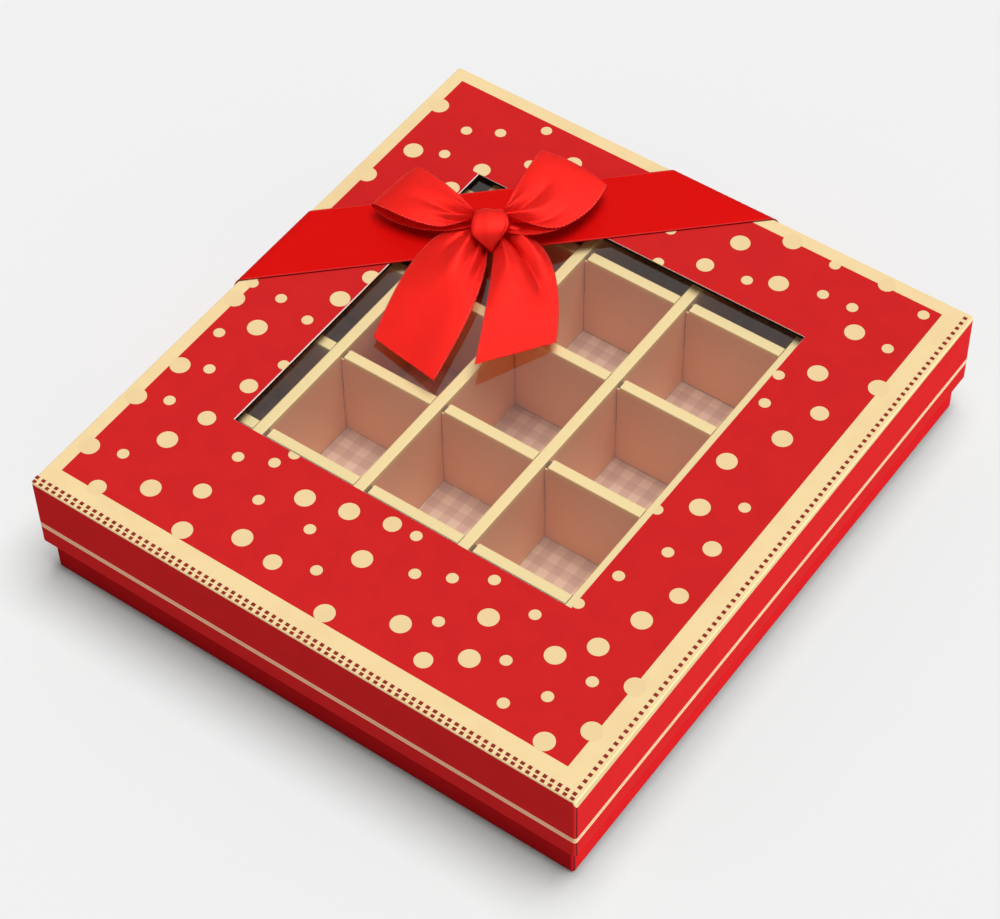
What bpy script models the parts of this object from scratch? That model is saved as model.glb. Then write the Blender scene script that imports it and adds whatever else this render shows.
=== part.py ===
"""A set-up gift box: a paper-wrapped board lid with a film window, a ribbon band
and a bow, over a plain tray that holds a half-lapped card divider grid.

Metres, +Z up, +Y to the back. The origin is the centre of the tray's underside.
"""

import math

import bmesh
import bpy
from mathutils import Matrix, Vector

mm = 0.001

# Sheet goods and the spaces between them
board_thickness = 1.0 * mm
paper_thickness = 0.25 * mm
film_thickness = 0.25 * mm
card_thickness = 0.4 * mm
glue_gap = 0.25 * mm
seat_gap = 0.3 * mm
overrun = 5.0 * mm

# Closed box
lid_width = 200.0 * mm
lid_depth = 220.0 * mm
lid_height = 28.5 * mm
box_height = 41.9 * mm
lid_play = 0.35 * mm
fold_radius = 0.6 * mm
fold_segments = 2
lid_turn_in = 12.0 * mm
tray_turn_in = 9.0 * mm

# Window in the lid
window_width = 125.5 * mm
window_depth = 128.0 * mm
window_shift_x = -2.0 * mm
window_shift_y = 8.5 * mm
film_margin = 8.0 * mm
lining_step = 1.2 * mm

# Paper stays on the board's corners
stay_leg = 13.0 * mm
stay_inset = 2.5 * mm

# Divider grid
strip_width = 3.9 * mm
strip_top_drop = 4.4 * mm
cross_strip_drop = 0.4 * mm
strip_fold_radius = 0.35 * mm
lap_slack = 1.3 * mm
column_count = 5
cross_strip_count = 4
back_row_depth = 36.9 * mm

# Ribbon band over the back-left corner: its middle line meets the lid's left and back
# edges at these distances from the corner
band_width = 27.0 * mm
band_left_distance = 101.5 * mm
band_back_distance = 106.6 * mm
ribbon_thickness = 0.3 * mm

# Bow on the band: its knot's place along the band and forward of its middle line
ribbon_width = 25.0 * mm
knot_slide = -4.1 * mm
knot_forward = 9.0 * mm
bow_turn = math.radians(36.0)
glue_pad_radius = 3.6 * mm
glue_pad_thickness = 0.5 * mm
knot_size_shares = (0.78, 0.75, 0.46)
knot_taper_share = 0.45
knot_crest_share = 1.1
knot_sink_share = 0.08
loop_steps = 26
tail_steps = 14
ribbon_cross_steps = 8

# Bow outlines, as shares of its ribbon's width, from the knot outwards: right, back, up.
# Each edge is one Bezier curve of four points.
left_loop_back_edge_shares = (
    (-0.12, 0.14, 0.25), (-0.32, 0.48, 0.28), (-0.64, 0.78, 0.29), (-0.96, 1.08, 0.26))
left_loop_front_edge_shares = (
    (-0.12, 0.04, 0.25), (-0.44, -0.16, 0.24), (-1.08, 0.04, 0.23), (-1.54, 0.50, 0.20))
right_loop_back_edge_shares = (
    (0.12, 0.14, 0.25), (0.24, 0.50, 0.28), (0.48, 0.96, 0.30), (0.66, 1.33, 0.27))
right_loop_front_edge_shares = (
    (0.12, 0.00, 0.25), (0.50, -0.26, 0.24), (1.24, -0.04, 0.24), (1.51, 0.74, 0.23))
left_tail_outer_edge_shares = (
    (-0.14, 0.10, 0.115), (-0.88, 0.24, 0.11), (-1.16, -0.56, 0.10), (-1.49, -1.62, -0.012))
left_tail_inner_edge_shares = (
    (-0.05, -0.02, 0.125), (-0.02, -0.80, 0.13), (-0.32, -1.44, 0.07), (-0.72, -2.39, 0.035))
right_tail_inner_edge_shares = (
    (0.05, -0.02, 0.125), (0.02, -0.72, 0.20), (-0.10, -1.44, 0.20), (-0.22, -2.20, 0.12))
right_tail_outer_edge_shares = (
    (0.14, 0.10, 0.115), (0.76, 0.12, 0.13), (0.94, -0.72, 0.07), (0.80, -1.74, -0.015))
loop_root_half_height_share = 0.022
loop_half_height_share = 0.125
loop_crown_share = 0.03
loop_pleat_share = 0.012
tail_crown_share = 0.085
tail_pleat_share = 0.018

# Heights and faces worked out from the sizes above
wall_stack = 2 * (paper_thickness + glue_gap) + board_thickness
lid_rim = box_height - lid_height
lid_board_width = lid_width - 2 * (paper_thickness + glue_gap)
lid_board_depth = lid_depth - 2 * (paper_thickness + glue_gap)
lid_board_top = box_height - paper_thickness - glue_gap
film_top = lid_board_top - board_thickness - glue_gap
film_bottom = film_top - film_thickness
lid_lining_top = film_bottom - glue_gap
lid_lining_bottom = lid_lining_top - paper_thickness

tray_width = lid_width - 2 * (wall_stack + lid_play)
tray_depth = lid_depth - 2 * (wall_stack + lid_play)
tray_rim = lid_lining_bottom - seat_gap
tray_board_bottom = paper_thickness + glue_gap
tray_board_top = tray_rim - paper_thickness - glue_gap
tray_inner_width = tray_width - 2 * wall_stack
tray_inner_depth = tray_depth - 2 * wall_stack
floor_sheet_bottom = tray_board_bottom + board_thickness + glue_gap
floor_sheet_top = floor_sheet_bottom + paper_thickness

strip_bottom = floor_sheet_top + seat_gap
long_strip_top = box_height - strip_top_drop
cross_strip_top = long_strip_top - cross_strip_drop
lap_height = (strip_bottom + cross_strip_top) / 2
cell_pitch = (tray_inner_width + strip_width) / column_count
back_strip_place = tray_inner_depth / 2 - back_row_depth - strip_width / 2

band_bottom = box_height + glue_gap
band_top = band_bottom + ribbon_thickness
glue_pad_bottom = band_top + glue_gap
glue_pad_top = glue_pad_bottom + glue_pad_thickness
knot_bottom = glue_pad_top + glue_gap
band_slope = band_left_distance / band_back_distance
band_angle = math.atan(band_slope)
band_middle_x = (band_back_distance - lid_width) / 2
band_middle_y = (lid_depth - band_left_distance) / 2

# Colours, as linear red, green and blue
printed_red = (0.62, 0.025, 0.035)
plain_red = (0.52, 0.018, 0.026)
board_brown = (0.09, 0.045, 0.03)
lining_white = (0.82, 0.80, 0.76)
stay_cream = (0.70, 0.62, 0.48)
film_clear = (0.90, 0.92, 0.93)
card_gold = (0.90, 0.68, 0.36)
check_tan = (0.48, 0.32, 0.24)
satin_red = (0.78, 0.012, 0.012)
glue_amber = (0.75, 0.66, 0.45)


def clear_scene():
    """Remove whatever objects the file holds."""
    for thing in list(bpy.data.objects):
        bpy.data.objects.remove(thing, do_unlink=True)


def new_collection(name):
    """Link a new collection to the scene and return it."""
    collection = bpy.data.collections.new(name)
    bpy.context.scene.collection.children.link(collection)
    return collection


def finish(name, colour, roughness, metallic=0.0):
    """A Principled material of one colour."""
    material = bpy.data.materials.new(name + "_finish")
    material.use_nodes = True
    shader = material.node_tree.nodes["Principled BSDF"]
    shader.inputs["Base Color"].default_value = (*colour, 1.0)
    shader.inputs["Roughness"].default_value = roughness
    shader.inputs["Metallic"].default_value = metallic
    material.diffuse_color = (*colour, 1.0)
    return material


def new_piece(name, bm, colour, roughness, metallic=0.0, parent=None, place=(0, 0, 0)):
    """Make a named part object from a bmesh, under a parent empty if one is given."""
    mesh = bpy.data.meshes.new(name)
    bm.to_mesh(mesh)
    bm.free()
    piece = bpy.data.objects.new(name, mesh)
    piece.data.materials.append(finish(name, colour, roughness, metallic))
    piece.parent = parent
    piece.location = place
    box_parts.objects.link(piece)
    return piece


def new_cutter(name, bm, parent=None, place=(0, 0, 0)):
    """Make a hidden object that only cuts others."""
    mesh = bpy.data.meshes.new(name)
    bm.to_mesh(mesh)
    bm.free()
    cutter = bpy.data.objects.new(name, mesh)
    cutter.parent = parent
    cutter.location = place
    cutter.hide_render = True
    cutter.display_type = "WIRE"
    cutters.objects.link(cutter)
    return cutter


def thicken(piece, thickness, outwards=False):
    """Give an open surface its wall, behind its faces or in front of them."""
    solidify = piece.modifiers.new("wall", "SOLIDIFY")
    solidify.thickness = thickness
    solidify.offset = 1.0 if outwards else -1.0
    solidify.use_even_offset = True


def cut(piece, cutter):
    """Take a cutter's volume out of a piece."""
    boolean = piece.modifiers.new("cut_" + cutter.name, "BOOLEAN")
    boolean.operation = "DIFFERENCE"
    boolean.solver = "EXACT"
    boolean.object = cutter


def block(low, high):
    """A closed box between two corners."""
    bm = bmesh.new()
    add_block(bm, low, high)
    return bm


def add_block(bm, low, high):
    """Add a closed box between two corners to a bmesh."""
    low, high = Vector(low), Vector(high)
    corners = bmesh.ops.create_cube(bm, size=1.0)["verts"]
    for corner in corners:
        share = corner.co + Vector((0.5, 0.5, 0.5))
        corner.co = [a + s * (b - a) for a, b, s in zip(low, high, share)]


def keep_faces(bm, wanted):
    """Delete the faces whose normal isn't in the wanted list."""
    bm.normal_update()
    doomed = [f for f in bm.faces if not any(f.normal.dot(Vector(w)) > 0.9 for w in wanted)]
    bmesh.ops.delete(bm, geom=doomed, context="FACES")


def round_folds(bm, radius):
    """Round every fold between two faces, and leave the open rims alone."""
    folds = [edge for edge in bm.edges if len(edge.link_faces) == 2]
    bmesh.ops.bevel(bm, geom=folds, offset=radius, segments=fold_segments, profile=0.5,
                    affect="EDGES")


def open_box(width, depth, low, high, open_side, radius=0.0):
    """The outer surface of a tray or a lid, centred on the origin, open at one side."""
    bm = block((-width / 2, -depth / 2, low), (width / 2, depth / 2, high))
    sides = [(1, 0, 0), (-1, 0, 0), (0, 1, 0), (0, -1, 0)]
    ends = {"TOP": [(0, 0, -1)], "BOTTOM": [(0, 0, 1)], "BOTH": []}[open_side]
    keep_faces(bm, sides + ends)
    if radius > 0:
        round_folds(bm, radius)
    return bm


def fold_in(bm, rim, steps):
    """Carry the wrap on from its open rim: each step is a move inwards and a move up."""
    edges = [edge for edge in bm.edges
             if edge.is_boundary and all(abs(v.co.z - rim) < seat_gap for v in edge.verts)]
    for inwards, up in steps:
        grown = bmesh.ops.extrude_edge_only(bm, edges=edges)["geom"]
        for vert in (part for part in grown if isinstance(part, bmesh.types.BMVert)):
            vert.co.x -= math.copysign(inwards, vert.co.x)
            vert.co.y -= math.copysign(inwards, vert.co.y)
            vert.co.z += up
        edges = [part for part in grown if isinstance(part, bmesh.types.BMEdge)]


def corner_sheet(corner_x, corner_y, leg, low, high):
    """Two upright faces that meet at a corner of the box, each one leg long."""
    inner_x = corner_x - math.copysign(leg, corner_x)
    inner_y = corner_y - math.copysign(leg, corner_y)
    bm = block((min(corner_x, inner_x), min(corner_y, inner_y), low),
               (max(corner_x, inner_x), max(corner_y, inner_y), high))
    keep_faces(bm, [(math.copysign(1, corner_x), 0, 0), (0, math.copysign(1, corner_y), 0)])
    return bm


def add_corner_stays(board, name, width, depth, low, high, colour, parent, base_z):
    """Press a paper L into each corner of a board shell, flush with its faces."""
    places = {"front_left": (-1, -1), "front_right": (1, -1), "back_left": (-1, 1), "back_right": (1, 1)}
    for place, (sign_x, sign_y) in places.items():
        corner_x, corner_y = sign_x * width / 2, sign_y * depth / 2
        stay_mesh = corner_sheet(corner_x, corner_y, stay_leg, low, high)
        stay = new_piece(f"{name}_corner_stay_{place}", stay_mesh, colour, 0.8, parent=parent,
                         place=(0, 0, -base_z))
        thicken(stay, paper_thickness)
        pocket_mesh = corner_sheet(corner_x + sign_x * overrun, corner_y + sign_y * overrun,
                                   stay_leg + overrun + glue_gap, low - glue_gap, high + glue_gap)
        pocket = new_cutter(f"{name}_stay_pocket_{place}", pocket_mesh, parent=parent,
                            place=(0, 0, -base_z))
        thicken(pocket, overrun + paper_thickness + glue_gap)
        cut(board, pocket)


def make_lid(lift):
    """Lid board, its stays, the printed wrap, the lining and the window film."""
    base_z = lift.location.z
    below = (0, 0, -base_z)
    window_low = Vector((window_shift_x - window_width / 2, window_shift_y - window_depth / 2, 0))
    window_high = Vector((window_shift_x + window_width / 2, window_shift_y + window_depth / 2, 0))
    rise = Vector((0, 0, box_height + overrun))
    window = new_cutter("window_cut", block(window_low + rise - 2 * Vector((0, 0, overrun)),
                                            window_high + rise), parent=lift, place=below)

    board_mesh = open_box(lid_board_width, lid_board_depth, lid_rim + paper_thickness + glue_gap,
                          lid_board_top, "BOTTOM")
    board = new_piece("lid_board", board_mesh, board_brown, 0.85, parent=lift, place=below)
    thicken(board, board_thickness)
    cut(board, window)
    add_corner_stays(board, "lid", lid_board_width, lid_board_depth,
                     lid_rim + paper_thickness + glue_gap + stay_inset, lid_board_top - stay_inset,
                     stay_cream, lift, base_z)

    wrap_mesh = open_box(lid_width, lid_depth, lid_rim, box_height, "BOTTOM", fold_radius)
    fold_in(wrap_mesh, lid_rim, [(wall_stack, 0), (0, lid_turn_in)])
    wrap = new_piece("lid_wrap", wrap_mesh, printed_red, 0.45, parent=lift, place=below)
    thicken(wrap, paper_thickness)
    cut(wrap, window)

    film_size = Vector((film_margin, film_margin, 0))
    film_mesh = block(window_low - film_size + Vector((0, 0, film_bottom)),
                      window_high + film_size + Vector((0, 0, film_top)))
    new_piece("window_film", film_mesh, film_clear, 0.05, parent=lift, place=below)

    lining_width = lid_width - 2 * (wall_stack - paper_thickness)
    lining_depth = lid_depth - 2 * (wall_stack - paper_thickness)
    lining_mesh = open_box(lining_width, lining_depth, lid_rim + lid_turn_in + glue_gap,
                           lid_lining_top, "BOTTOM")
    lining = new_piece("lid_lining", lining_mesh, lining_white, 0.8, parent=lift, place=below)
    thicken(lining, paper_thickness)
    step = Vector((lining_step, lining_step, 0))
    lining_window = new_cutter("lining_window_cut",
                               block(window_low - step + Vector((0, 0, lid_lining_bottom - overrun)),
                                     window_high + step + Vector((0, 0, lid_lining_top + overrun))),
                               parent=lift, place=below)
    cut(lining, lining_window)


def make_tray():
    """Tray board, its stays, the plain wrap, the wall lining and the floor sheet."""
    skin = paper_thickness + glue_gap
    board_mesh = open_box(tray_width - 2 * skin, tray_depth - 2 * skin, tray_board_bottom,
                          tray_board_top, "TOP")
    board = new_piece("tray_board", board_mesh, board_brown, 0.85)
    thicken(board, board_thickness)
    add_corner_stays(board, "tray", tray_width - 2 * skin, tray_depth - 2 * skin,
                     tray_board_bottom + stay_inset, tray_board_top - stay_inset, stay_cream, None, 0)

    wrap_mesh = open_box(tray_width, tray_depth, 0, tray_rim, "TOP", fold_radius)
    fold_in(wrap_mesh, tray_rim, [(wall_stack, 0), (0, -tray_turn_in)])
    wrap = new_piece("tray_wrap", wrap_mesh, plain_red, 0.5)
    thicken(wrap, paper_thickness)

    lining_mesh = open_box(tray_inner_width + 2 * paper_thickness,
                           tray_inner_depth + 2 * paper_thickness,
                           floor_sheet_bottom, tray_rim - tray_turn_in - glue_gap, "BOTH")
    lining = new_piece("tray_lining", lining_mesh, lining_white, 0.8)
    thicken(lining, paper_thickness)

    half_x = tray_inner_width / 2 - glue_gap
    half_y = tray_inner_depth / 2 - glue_gap
    floor_mesh = block((-half_x, -half_y, floor_sheet_bottom), (half_x, half_y, floor_sheet_top))
    new_piece("floor_sheet", floor_mesh, check_tan, 0.7)


def folded_strip(length, top):
    """A card strip folded to an inverted channel, along Y, with its base on the XY plane."""
    bm = block((-strip_width / 2, -length / 2, 0), (strip_width / 2, length / 2, top))
    keep_faces(bm, [(1, 0, 0), (-1, 0, 0), (0, 0, 1)])
    round_folds(bm, strip_fold_radius)
    return bm


def column_places():
    """The X of each long strip, left to right: equal cells across the tray."""
    first = -cell_pitch * (column_count - 2) / 2
    return [first + cell_pitch * index for index in range(column_count - 1)]


def row_places():
    """The Y of each cross strip, back to front: square cells counted from the back row."""
    return [back_strip_place - cell_pitch * index for index in range(cross_strip_count)]


def make_dividers():
    """Long strips slotted from below over cross strips slotted from above."""
    long_length = tray_inner_depth - 2 * seat_gap
    slots = bmesh.new()
    for row in row_places():
        half = strip_width / 2 + seat_gap
        add_block(slots, (-strip_width / 2 - overrun, row - half, -overrun),
                  (strip_width / 2 + overrun, row + half, lap_height - strip_bottom + seat_gap / 2))
    long_slots = new_cutter("long_strip_slots", slots)
    for number, column in enumerate(column_places(), start=1):
        strip_mesh = folded_strip(long_length, long_strip_top - strip_bottom)
        strip = new_piece(f"divider_long_{number}", strip_mesh, card_gold, 0.4, 0.25,
                          place=(column, 0, strip_bottom))
        thicken(strip, card_thickness)
        slot = new_cutter(f"long_strip_slots_{number}", bmesh_from(long_slots),
                          place=(column, 0, strip_bottom))
        cut(strip, slot)
    bpy.data.objects.remove(long_slots)

    cross_length = tray_inner_width - 2 * seat_gap
    for number, row in enumerate(row_places(), start=1):
        strip_mesh = folded_strip(cross_length, cross_strip_top - strip_bottom)
        bmesh.ops.rotate(strip_mesh, verts=strip_mesh.verts,
                         matrix=Matrix.Rotation(math.radians(-90), 3, "Z"))
        strip = new_piece(f"divider_cross_{number}", strip_mesh, card_gold, 0.4, 0.25,
                          place=(0, row, strip_bottom))
        thicken(strip, card_thickness)
        slots = bmesh.new()
        for column in column_places():
            add_block(slots, (column - strip_width / 2 - seat_gap, -strip_width / 2 - overrun,
                              lap_height - strip_bottom - seat_gap / 2),
                      (column + strip_width / 2 + lap_slack, strip_width / 2 + overrun,
                       cross_strip_top - strip_bottom + overrun))
        slot = new_cutter(f"cross_strip_slots_{number}", slots, place=(0, row, strip_bottom))
        cut(strip, slot)


def bmesh_from(source):
    """A bmesh copy of an object's mesh."""
    bm = bmesh.new()
    bm.from_mesh(source.data)
    return bm


def make_band(lift):
    """The ribbon over the back-left corner: across the top, down two sides, under the rim."""
    side_x = lid_width / 2 + glue_gap
    back_y = lid_depth / 2 + glue_gap
    rim_z = lid_rim - glue_gap
    drop = band_bottom - rim_z
    reach = wall_stack + glue_gap
    bm = bmesh.new()
    rows = []
    for side in (-1, 1):
        middle_y = band_middle_y + side * band_width / 2 / math.cos(band_angle)
        left_y = middle_y - (side_x + band_middle_x) * band_slope
        back_x = band_middle_x + (back_y - middle_y) / band_slope
        points = [
            (-side_x + reach, left_y - (drop + reach) * band_slope, rim_z),
            (-side_x, left_y - drop * band_slope, rim_z),
            (-side_x, left_y, band_bottom),
            (back_x, back_y, band_bottom),
            (back_x + drop / band_slope, back_y, rim_z),
            (back_x + (drop + reach) / band_slope, back_y - reach, rim_z),
        ]
        rows.append([bm.verts.new(point) for point in points])
    front, back = rows
    for index in range(len(front) - 1):
        bm.faces.new((front[index], front[index + 1], back[index + 1], back[index]))
    round_folds(bm, fold_radius + glue_gap)
    band = new_piece("ribbon_band", bm, satin_red, 0.35, parent=lift, place=(0, 0, -lift.location.z))
    thicken(band, ribbon_thickness, outwards=True)


def bezier(points, share):
    """A point on a cubic Bezier curve, in metres, from points in shares of the ribbon's width."""
    a, b, c, d = (Vector(point) * ribbon_width for point in points)
    rest = 1 - share
    return a * rest ** 3 + b * 3 * rest ** 2 * share + c * 3 * rest * share ** 2 + d * share ** 3


def ribbon_sheet(steps, place):
    """A grid whose points go where place(along, across) says; along 0..1, across -1..1."""
    bm = bmesh.new()
    bmesh.ops.create_grid(bm, x_segments=steps, y_segments=ribbon_cross_steps, size=1.0)
    for vert in bm.verts:
        vert.co = place((vert.co.x + 1) / 2, vert.co.y)
    bm.normal_update()
    return bm


def loop_point(back_edge, front_edge, along, across):
    """A point on a loop: out over the top, round the tip and back underneath."""
    turn = 2 * math.pi * along
    out = (1 - math.cos(turn)) / 2
    side = (across + 1) / 2
    middle = bezier(front_edge, out).lerp(bezier(back_edge, out), side)
    half_height = (loop_root_half_height_share * (1 - out) + 2 * loop_half_height_share * out
                   + loop_crown_share * out * (1 - across ** 2))
    pleat = loop_pleat_share * (1 - out) ** 2 * math.cos(2 * math.pi * across)
    middle.z += (math.cos(turn / 2) * half_height + pleat) * ribbon_width
    return middle


def tail_point(left_edge, right_edge, along, across):
    """A point on a tail: crowned and lightly pleated at the knot, flatter at its cut end."""
    side = (across + 1) / 2
    middle = bezier(left_edge, along).lerp(bezier(right_edge, along), side)
    crown = tail_crown_share * (1 - across ** 2) * math.sin(math.pi * math.sqrt(along)) ** 2
    pleat = tail_pleat_share * along * (1 - along) ** 3 * math.cos(3 * math.pi * across)
    middle.z += (crown + pleat) * ribbon_width
    return middle


def knot_cage(clearance):
    """The knot's coarse cage: a block narrowed to the front, sunk by what smoothing takes off."""
    size_x, size_y, size_z = (share * ribbon_width + 2 * clearance for share in knot_size_shares)
    bm = block((-size_x / 2, -size_y / 2, 0), (size_x / 2, size_y / 2, size_z))
    for vert in bm.verts:
        vert.co.z += knot_bottom - box_height - clearance - knot_sink_share * size_z
        if vert.co.y < 0:
            vert.co.x *= knot_taper_share
            vert.co.y *= knot_crest_share
    return bm


def soften(piece, levels):
    """Subdivide a cage to a smooth form."""
    smooth = piece.modifiers.new("soft", "SUBSURF")
    smooth.levels = levels
    smooth.render_levels = levels


def make_bow(lift):
    """Two loops, two tails and the wrapped knot, glued to the band by a pad."""
    seat = bpy.data.objects.new("bow_seat", None)
    seat.parent = lift
    along, forward = math.cos(band_angle), math.sin(band_angle)
    seat.location = (band_middle_x + knot_slide * along + knot_forward * forward,
                     band_middle_y + knot_slide * forward - knot_forward * along,
                     box_height - lift.location.z)
    seat.rotation_euler = (0, 0, bow_turn)
    box_parts.objects.link(seat)

    pad = bmesh.new()
    pad_middle = (glue_pad_bottom + glue_pad_top) / 2 - box_height
    bmesh.ops.create_cone(pad, cap_ends=True, segments=32, radius1=glue_pad_radius,
                          radius2=glue_pad_radius, depth=glue_pad_thickness,
                          matrix=Matrix.Translation((0, 0, pad_middle)))
    new_piece("bow_glue_pad", pad, glue_amber, 0.6, parent=seat)

    knot = new_piece("bow_knot", knot_cage(0), satin_red, 0.35, parent=seat)
    soften(knot, 3)
    knot_room = new_cutter("knot_room", knot_cage(seat_gap), parent=seat)
    soften(knot_room, 3)

    loops = {
        "bow_loop_left": (left_loop_back_edge_shares, left_loop_front_edge_shares),
        "bow_loop_right": (right_loop_back_edge_shares, right_loop_front_edge_shares),
    }
    for name, (back_edge, front_edge) in loops.items():
        sheet = ribbon_sheet(loop_steps, lambda s, t: loop_point(back_edge, front_edge, s, t))
        loop = new_piece(name, sheet, satin_red, 0.35, parent=seat)
        thicken(loop, ribbon_thickness)
        cut(loop, knot_room)

    tails = {
        "bow_tail_left": (left_tail_outer_edge_shares, left_tail_inner_edge_shares),
        "bow_tail_right": (right_tail_inner_edge_shares, right_tail_outer_edge_shares),
    }
    for name, (left_edge, right_edge) in tails.items():
        sheet = ribbon_sheet(tail_steps, lambda s, t: tail_point(left_edge, right_edge, s, t))
        tail = new_piece(name, sheet, satin_red, 0.35, parent=seat)
        thicken(tail, ribbon_thickness)
        cut(tail, knot_room)


clear_scene()
box_parts = new_collection("gift_box")
cutters = new_collection("cutters")

# The lid lifts straight up: everything on it hangs from an empty on the box's middle line.
lid_lift = bpy.data.objects.new("lid_lift_axis", None)
lid_lift.location = (0, 0, lid_rim)
box_parts.objects.link(lid_lift)

make_tray()
make_dividers()
make_lid(lid_lift)
make_band(lid_lift)
make_bow(lid_lift)
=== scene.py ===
import logging
import math
from collections.abc import Callable
from dataclasses import dataclass, field
from enum import Enum, IntEnum
from typing import ClassVar

import bmesh
import bpy
from mathutils import Matrix, Vector, noise


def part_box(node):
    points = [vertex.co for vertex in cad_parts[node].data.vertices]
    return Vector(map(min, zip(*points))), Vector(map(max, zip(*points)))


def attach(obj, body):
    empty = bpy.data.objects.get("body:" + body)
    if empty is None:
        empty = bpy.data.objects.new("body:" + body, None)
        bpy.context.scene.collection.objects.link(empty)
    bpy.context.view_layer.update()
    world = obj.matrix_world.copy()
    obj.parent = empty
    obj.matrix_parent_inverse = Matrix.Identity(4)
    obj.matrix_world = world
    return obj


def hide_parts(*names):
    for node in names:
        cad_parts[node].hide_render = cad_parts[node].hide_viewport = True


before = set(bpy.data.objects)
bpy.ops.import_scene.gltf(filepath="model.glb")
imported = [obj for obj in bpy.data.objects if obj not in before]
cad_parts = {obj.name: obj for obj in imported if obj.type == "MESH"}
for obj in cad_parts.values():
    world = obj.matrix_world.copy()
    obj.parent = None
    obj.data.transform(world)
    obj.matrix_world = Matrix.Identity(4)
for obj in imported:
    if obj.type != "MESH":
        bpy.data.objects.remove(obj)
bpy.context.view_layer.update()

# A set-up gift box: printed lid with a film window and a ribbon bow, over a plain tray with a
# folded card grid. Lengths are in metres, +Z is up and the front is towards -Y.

log = logging.getLogger("gift_box")

MM = 0.001
HALF = 0.5
UP = Vector((0, 0, 1))
Colour = tuple[float, float, float, float]
Span = tuple[float, float]
Stretch = tuple[float, float, float]
Place = Callable[[float, float], Vector]
BMesh = bmesh.types.BMesh

CORNER_PLACES = ("front_left", "front_right", "back_left", "back_right")


def rgb(red: float, green: float, blue: float) -> Colour:
    """Return a colour with full cover, from linear shares of light."""
    return (red, green, blue, 1.0)


WHITE = rgb(1.0, 1.0, 1.0)


class Body(Enum):
    """The two bodies of the box that a piece can ride on."""

    TRAY = "tray"
    LID = "lid"


class Ink(IntEnum):
    """Material places on a paper skin, in the order in which they are given to it."""

    BORDER = 0
    FIELD = 1
    LINE = 2
    EDGE = 3
    # Near-black ink: painted shadow in the corner grooves
    CREASE = 4
    # The cream on the lid's right flap, darkened as painted shade
    MARGIN = 5
    STRIPE = 6


# A cut edge takes the ink so many places after its strip's: the window's cut (EDGE) the warm tone
# of STRIPE, and a turned-in end (FIELD) the near-black ink that paints shadow into the corner grooves
CUT_SHIFT = Ink.STRIPE - Ink.EDGE


# Shader maths


class Nodes:
    """A node tree, put together by calls."""

    def __init__(self, tree: bpy.types.NodeTree) -> None:
        """Start with an empty tree."""
        self.tree = tree
        self.tree.nodes.clear()

    def node(self, kind: str, settings: dict | None = None, sockets: dict | None = None) -> bpy.types.Node:
        """Add a node.

        Args:
            kind: the node's type.
            settings: its own settings, set first.
            sockets: what its inputs take, by name or number: a value or a link.

        Returns:
            The new node.
        """
        made = self.tree.nodes.new(kind)
        for name, setting in (settings or {}).items():
            setattr(made, name, setting)
        for key, given in (sockets or {}).items():
            source = given.socket if isinstance(given, Value) else given
            if isinstance(source, bpy.types.NodeSocket):
                self.tree.links.new(source, made.inputs[key])
            else:
                made.inputs[key].default_value = source
        return made


class Value:
    """A number socket of a node tree, so that shader maths reads as an expression."""

    def __init__(self, nodes: Nodes, socket: bpy.types.NodeSocket) -> None:
        """Wrap a socket of the given tree."""
        self.nodes = nodes
        self.socket = socket

    def maths(self, operation: str, *numbers: "Value | float") -> "Value":
        """Add one Math node.

        Args:
            operation: the Math node's operation.
            numbers: what its sockets take, in order.

        Returns:
            The node's result.
        """
        made = self.nodes.node("ShaderNodeMath", {"operation": operation}, dict(enumerate(numbers)))
        return Value(self.nodes, made.outputs[0])

    def __add__(self, other: "Value | float") -> "Value":
        """Sum."""
        return self.maths("ADD", self, other)

    def __radd__(self, other: float) -> "Value":
        """Sum with a number first."""
        return self.maths("ADD", other, self)

    def __sub__(self, other: "Value | float") -> "Value":
        """Difference."""
        return self.maths("SUBTRACT", self, other)

    def __rsub__(self, other: float) -> "Value":
        """Difference with a number first."""
        return self.maths("SUBTRACT", other, self)

    def __mul__(self, other: "Value | float") -> "Value":
        """Product."""
        return self.maths("MULTIPLY", self, other)

    def __rmul__(self, other: float) -> "Value":
        """Product with a number first."""
        return self.maths("MULTIPLY", other, self)

    def __truediv__(self, other: "Value | float") -> "Value":
        """Quotient."""
        return self.maths("DIVIDE", self, other)

    def __gt__(self, other: "Value | float") -> "Value":
        """One where this is greater, else nought."""
        return self.maths("GREATER_THAN", self, other)

    def __lt__(self, other: "Value | float") -> "Value":
        """One where this is less, else nought."""
        return self.maths("LESS_THAN", self, other)

    def __abs__(self) -> "Value":
        """Distance from nought."""
        return self.maths("ABSOLUTE", self)

    def part(self) -> "Value":
        """What is left of the number after its whole part."""
        return self.maths("FRACT", self)

    def wave(self) -> "Value":
        """Sine."""
        return self.maths("SINE", self)

    def swell(self, length: float) -> "Value":
        """Waves of a length, from nought to one."""
        return (self * (2 * math.pi / length)).wave() * HALF + HALF

    def most(self, other: "Value") -> "Value":
        """The greater of the two."""
        return self.maths("MAXIMUM", self, other)

    def ramp(self, low: float, high: float) -> "Value":
        """Rise smoothly from nought to one.

        Args:
            low: where it leaves nought.
            high: where it reaches one.

        Returns:
            The risen number.
        """
        settings = {"interpolation_type": "SMOOTHSTEP"}
        made = self.nodes.node("ShaderNodeMapRange", settings, {0: self, 1: low, 2: high, 3: 0.0, 4: 1.0})
        return Value(self.nodes, made.outputs[0])


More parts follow.
